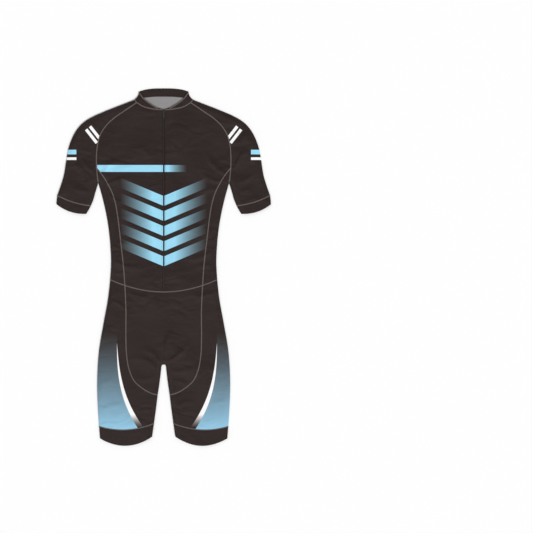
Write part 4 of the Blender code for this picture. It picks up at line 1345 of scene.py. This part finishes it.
def teeth():
    """The closed coil: loops from both sides that lie between each other, over a core."""
    length = CHAIN_END_DROP - CHAIN_TOP_DROP
    count = int(length / TOOTH_PITCH)
    y = TOP - CHAIN_TOP_DROP - (np.arange(count) + 0.5) * length / count
    side = np.where(np.arange(count) % 2, 1.0, -1.0)
    loop = np.array(TOOTH_LOOP)
    x = side[:, None] * loop[:, 0] * (CHAIN_WIDTH / 2 - TOOTH_RADIUS) / loop[:, 0].max()
    z = CHAIN_BASE + CHAIN_HEIGHT - TOOTH_RADIUS + loop[:, 1] * CHAIN_HEIGHT
    paths = np.stack(np.broadcast_arrays(x, y[:, None], z[None]), axis=-1)
    out = np.tile([0.0, 0.0, 1.0], (count, 1))
    loops = tubes(paths, out, TOOTH_RADIUS, sides=6, ends=0.9)
    settle(mesh_object("zip_chain_coil", *loops, coil), "zip_chain")
    size = (CHAIN_WIDTH * CORE_WIDTH, length, CHAIN_HEIGHT * CORE_HEIGHT)
    middle = (0, TOP - CHAIN_TOP_DROP - length / 2, CHAIN_BASE + size[2] / 2)
    settle(box("zip_chain_core", size, middle, coil, bevel=0.0002))


def stop():
    middle = (0, TOP - CHAIN_END_DROP - SEAM_GAP - STOP_SIZE[1] / 2, CHAIN_BASE + STOP_SIZE[2] / 2)
    settle(box("zip_stop_metal", STOP_SIZE, middle, metal, bevel=0.0005), "zip_stop")


def plate(name, outlines, thickness, bevel):
    """A flat plate with rounded edges from closed outlines; those after the first are holes."""
    shape = bpy.data.curves.new(name, "CURVE")
    shape.dimensions = "2D"
    shape.fill_mode = "BOTH"
    shape.extrude = thickness / 2 - bevel
    shape.bevel_depth = bevel
    shape.bevel_resolution = 2
    shape.offset = -bevel
    for corners in outlines:
        spline = shape.splines.new("POLY")
        spline.points.add(len(corners) - 1)
        for point, (x, y) in zip(spline.points, corners):
            point.co = (x, y, 0, 1)
        spline.use_cyclic_u = True
    holder = link(name, shape)
    graph = bpy.context.evaluated_depsgraph_get()
    mesh = bpy.data.meshes.new_from_object(holder.evaluated_get(graph))
    bpy.data.objects.remove(holder)
    mesh.materials.clear()
    mesh.materials.append(metal)
    return link(name, mesh)


def arc(radius, start, end, count, y=0.0):
    """Points on a circle between two angles, in degrees, with its centre at this height."""
    angles = np.radians(np.linspace(start, end, count))
    return [(radius * math.cos(angle), y + radius * math.sin(angle)) for angle in angles]


def slider():
    """The slider's tapered plate, its stem in the slot and the arched bridge that holds the pull."""
    right = [(width, y) for y, width in PLATE_HALF_WIDTHS]
    outline = right + [(-x, y) for x, y in reversed(right)]
    body = plate("zip_slider_plate", [outline], PLATE_THICKNESS, bevel=0.0003)
    body.location = (0, SLIDER_Y, PLATE_LOW + PLATE_THICKNESS / 2)
    height = PLATE_LOW + PLATE_THICKNESS / 2 - CHAIN_BASE
    middle = (0, SLIDER_Y, CHAIN_BASE + height / 2)
    stem = box("zip_slider_stem", (*STEM, height), middle, metal, bevel=0.0003)
    rise = PULL_EYE_RADIUS + BRIDGE_WALL
    foot = PLATE_LOW + PLATE_THICKNESS - PULL_AXIS - BRIDGE_FOOT
    outer = [(BRIDGE_REACH * x, rise * y**BRIDGE_ROUND) for x, y in arc(1, 0, 180, 13)]
    outer = [(BRIDGE_REACH, foot), *outer, (-BRIDGE_REACH, foot)]
    eye = arc(PULL_EYE_RADIUS, 0, 345, 24)
    bridge = plate("zip_slider_bridge", [outer, eye], 2 * BRIDGE_HALF, bevel=0.0002)
    bridge.rotation_euler = (math.radians(90), 0, math.radians(90))
    bridge.location = (0, SLIDER_Y, PULL_AXIS)
    settle(body, "zip_slider")
    settle(stem)
    settle(bridge)


def pull():
    """The pull: a tab with a waist, an eye round the bridge and a long hole."""
    half, rim = PULL_WIDTH / 2, PULL_RIM / 2
    waist_top = -PULL_EYE[1] - PULL_WAIST_DROP
    waist_end = waist_top - PULL_WAIST_LENGTH
    low = half - PULL_LENGTH
    right = [(half * PULL_TOP, rim), (half * PULL_WAIST, waist_top), (half, waist_end)]
    left = [(-x, y) for x, y in reversed(right)]
    outer = [left[-1], *right, *arc(half, 0, -180, 21, low), *left[:-1]]
    eye_half, eye_low = PULL_EYE[0] / 2, -rim - PULL_EYE[1]
    eye = [(-eye_half, -rim), (-eye_half, eye_low), (eye_half, eye_low), (eye_half, -rim)]
    hole_half, hole_length = PULL_HOLE[0] / 2, PULL_HOLE[1]
    hole = arc(hole_half, 180, 360, 13, low)
    hole += arc(hole_half, 0, 180, 13, low + hole_length - 2 * hole_half)
    tab = plate("zip_pull_tab", [outer, eye, hole], PULL_THICKNESS, bevel=0.00025)
    tab.location = (0, SLIDER_Y, PULL_AXIS)
    tab.rotation_euler = (math.radians(PULL_DROOP), 0, 0)
    settle(tab, "zip_pull", body="pull_tab")


tapes()
teeth()
stop()
slider()
pull()


# The fields of a piece's cut: its flat width and length, and its area, in metres, and what it rests on. No
# cuts are listed.
Flat = namedtuple("Flat", "width length area rests_on")


# The surface, the light and the camera

PHOTO_PIXELS = 533
PIXEL = 0.00305  # metres of the suit to a pixel of the photo
VIEW_CENTRE = (0.3132, 0.0015)
FLOOR_WHITE = (247, 247, 247)
FLOOR_HALF = 30
FLOOR_DROP = 0.0002
ROOM_LIGHT = 0.40
LENS = 100.0
SENSOR = 36.0

corners = np.array([(-1, -1, 0), (1, -1, 0), (1, 1, 0), (-1, 1, 0)]) * FLOOR_HALF - (0, 0, FLOOR_DROP)
floor_finish = plain("white surface", rgba(FLOOR_WHITE), 0.9, specular=0.1)
floor = mesh_object("white_surface", corners, [(0, 1, 2, 3)], floor_finish)

world = bpy.data.worlds.new("soft room")
world.use_nodes = True
room = world.node_tree.nodes["Background"].inputs
room["Color"].default_value = (1.0, 1.0, 1.0, 1.0)
room["Strength"].default_value = ROOM_LIGHT
bpy.context.scene.world = world


def lamp(name, energy, angle, turn):
    light = bpy.data.lights.new(name, "SUN")
    light.energy = energy
    light.angle = math.radians(angle)
    link(name, light).rotation_euler = [math.radians(value) for value in turn]


lamp("key", energy=2.3, angle=30, turn=(38, 0, 38))
lamp("fill", energy=0.35, angle=40, turn=(35, 0, -120))

camera = bpy.data.cameras.new("camera")
camera.lens = LENS
camera.sensor_width = SENSOR
eye = link("camera", camera)
eye.location = (*VIEW_CENTRE, PHOTO_PIXELS * PIXEL * LENS / SENSOR)
bpy.context.scene.camera = eye
bpy.context.scene.view_settings.view_transform = "Standard"
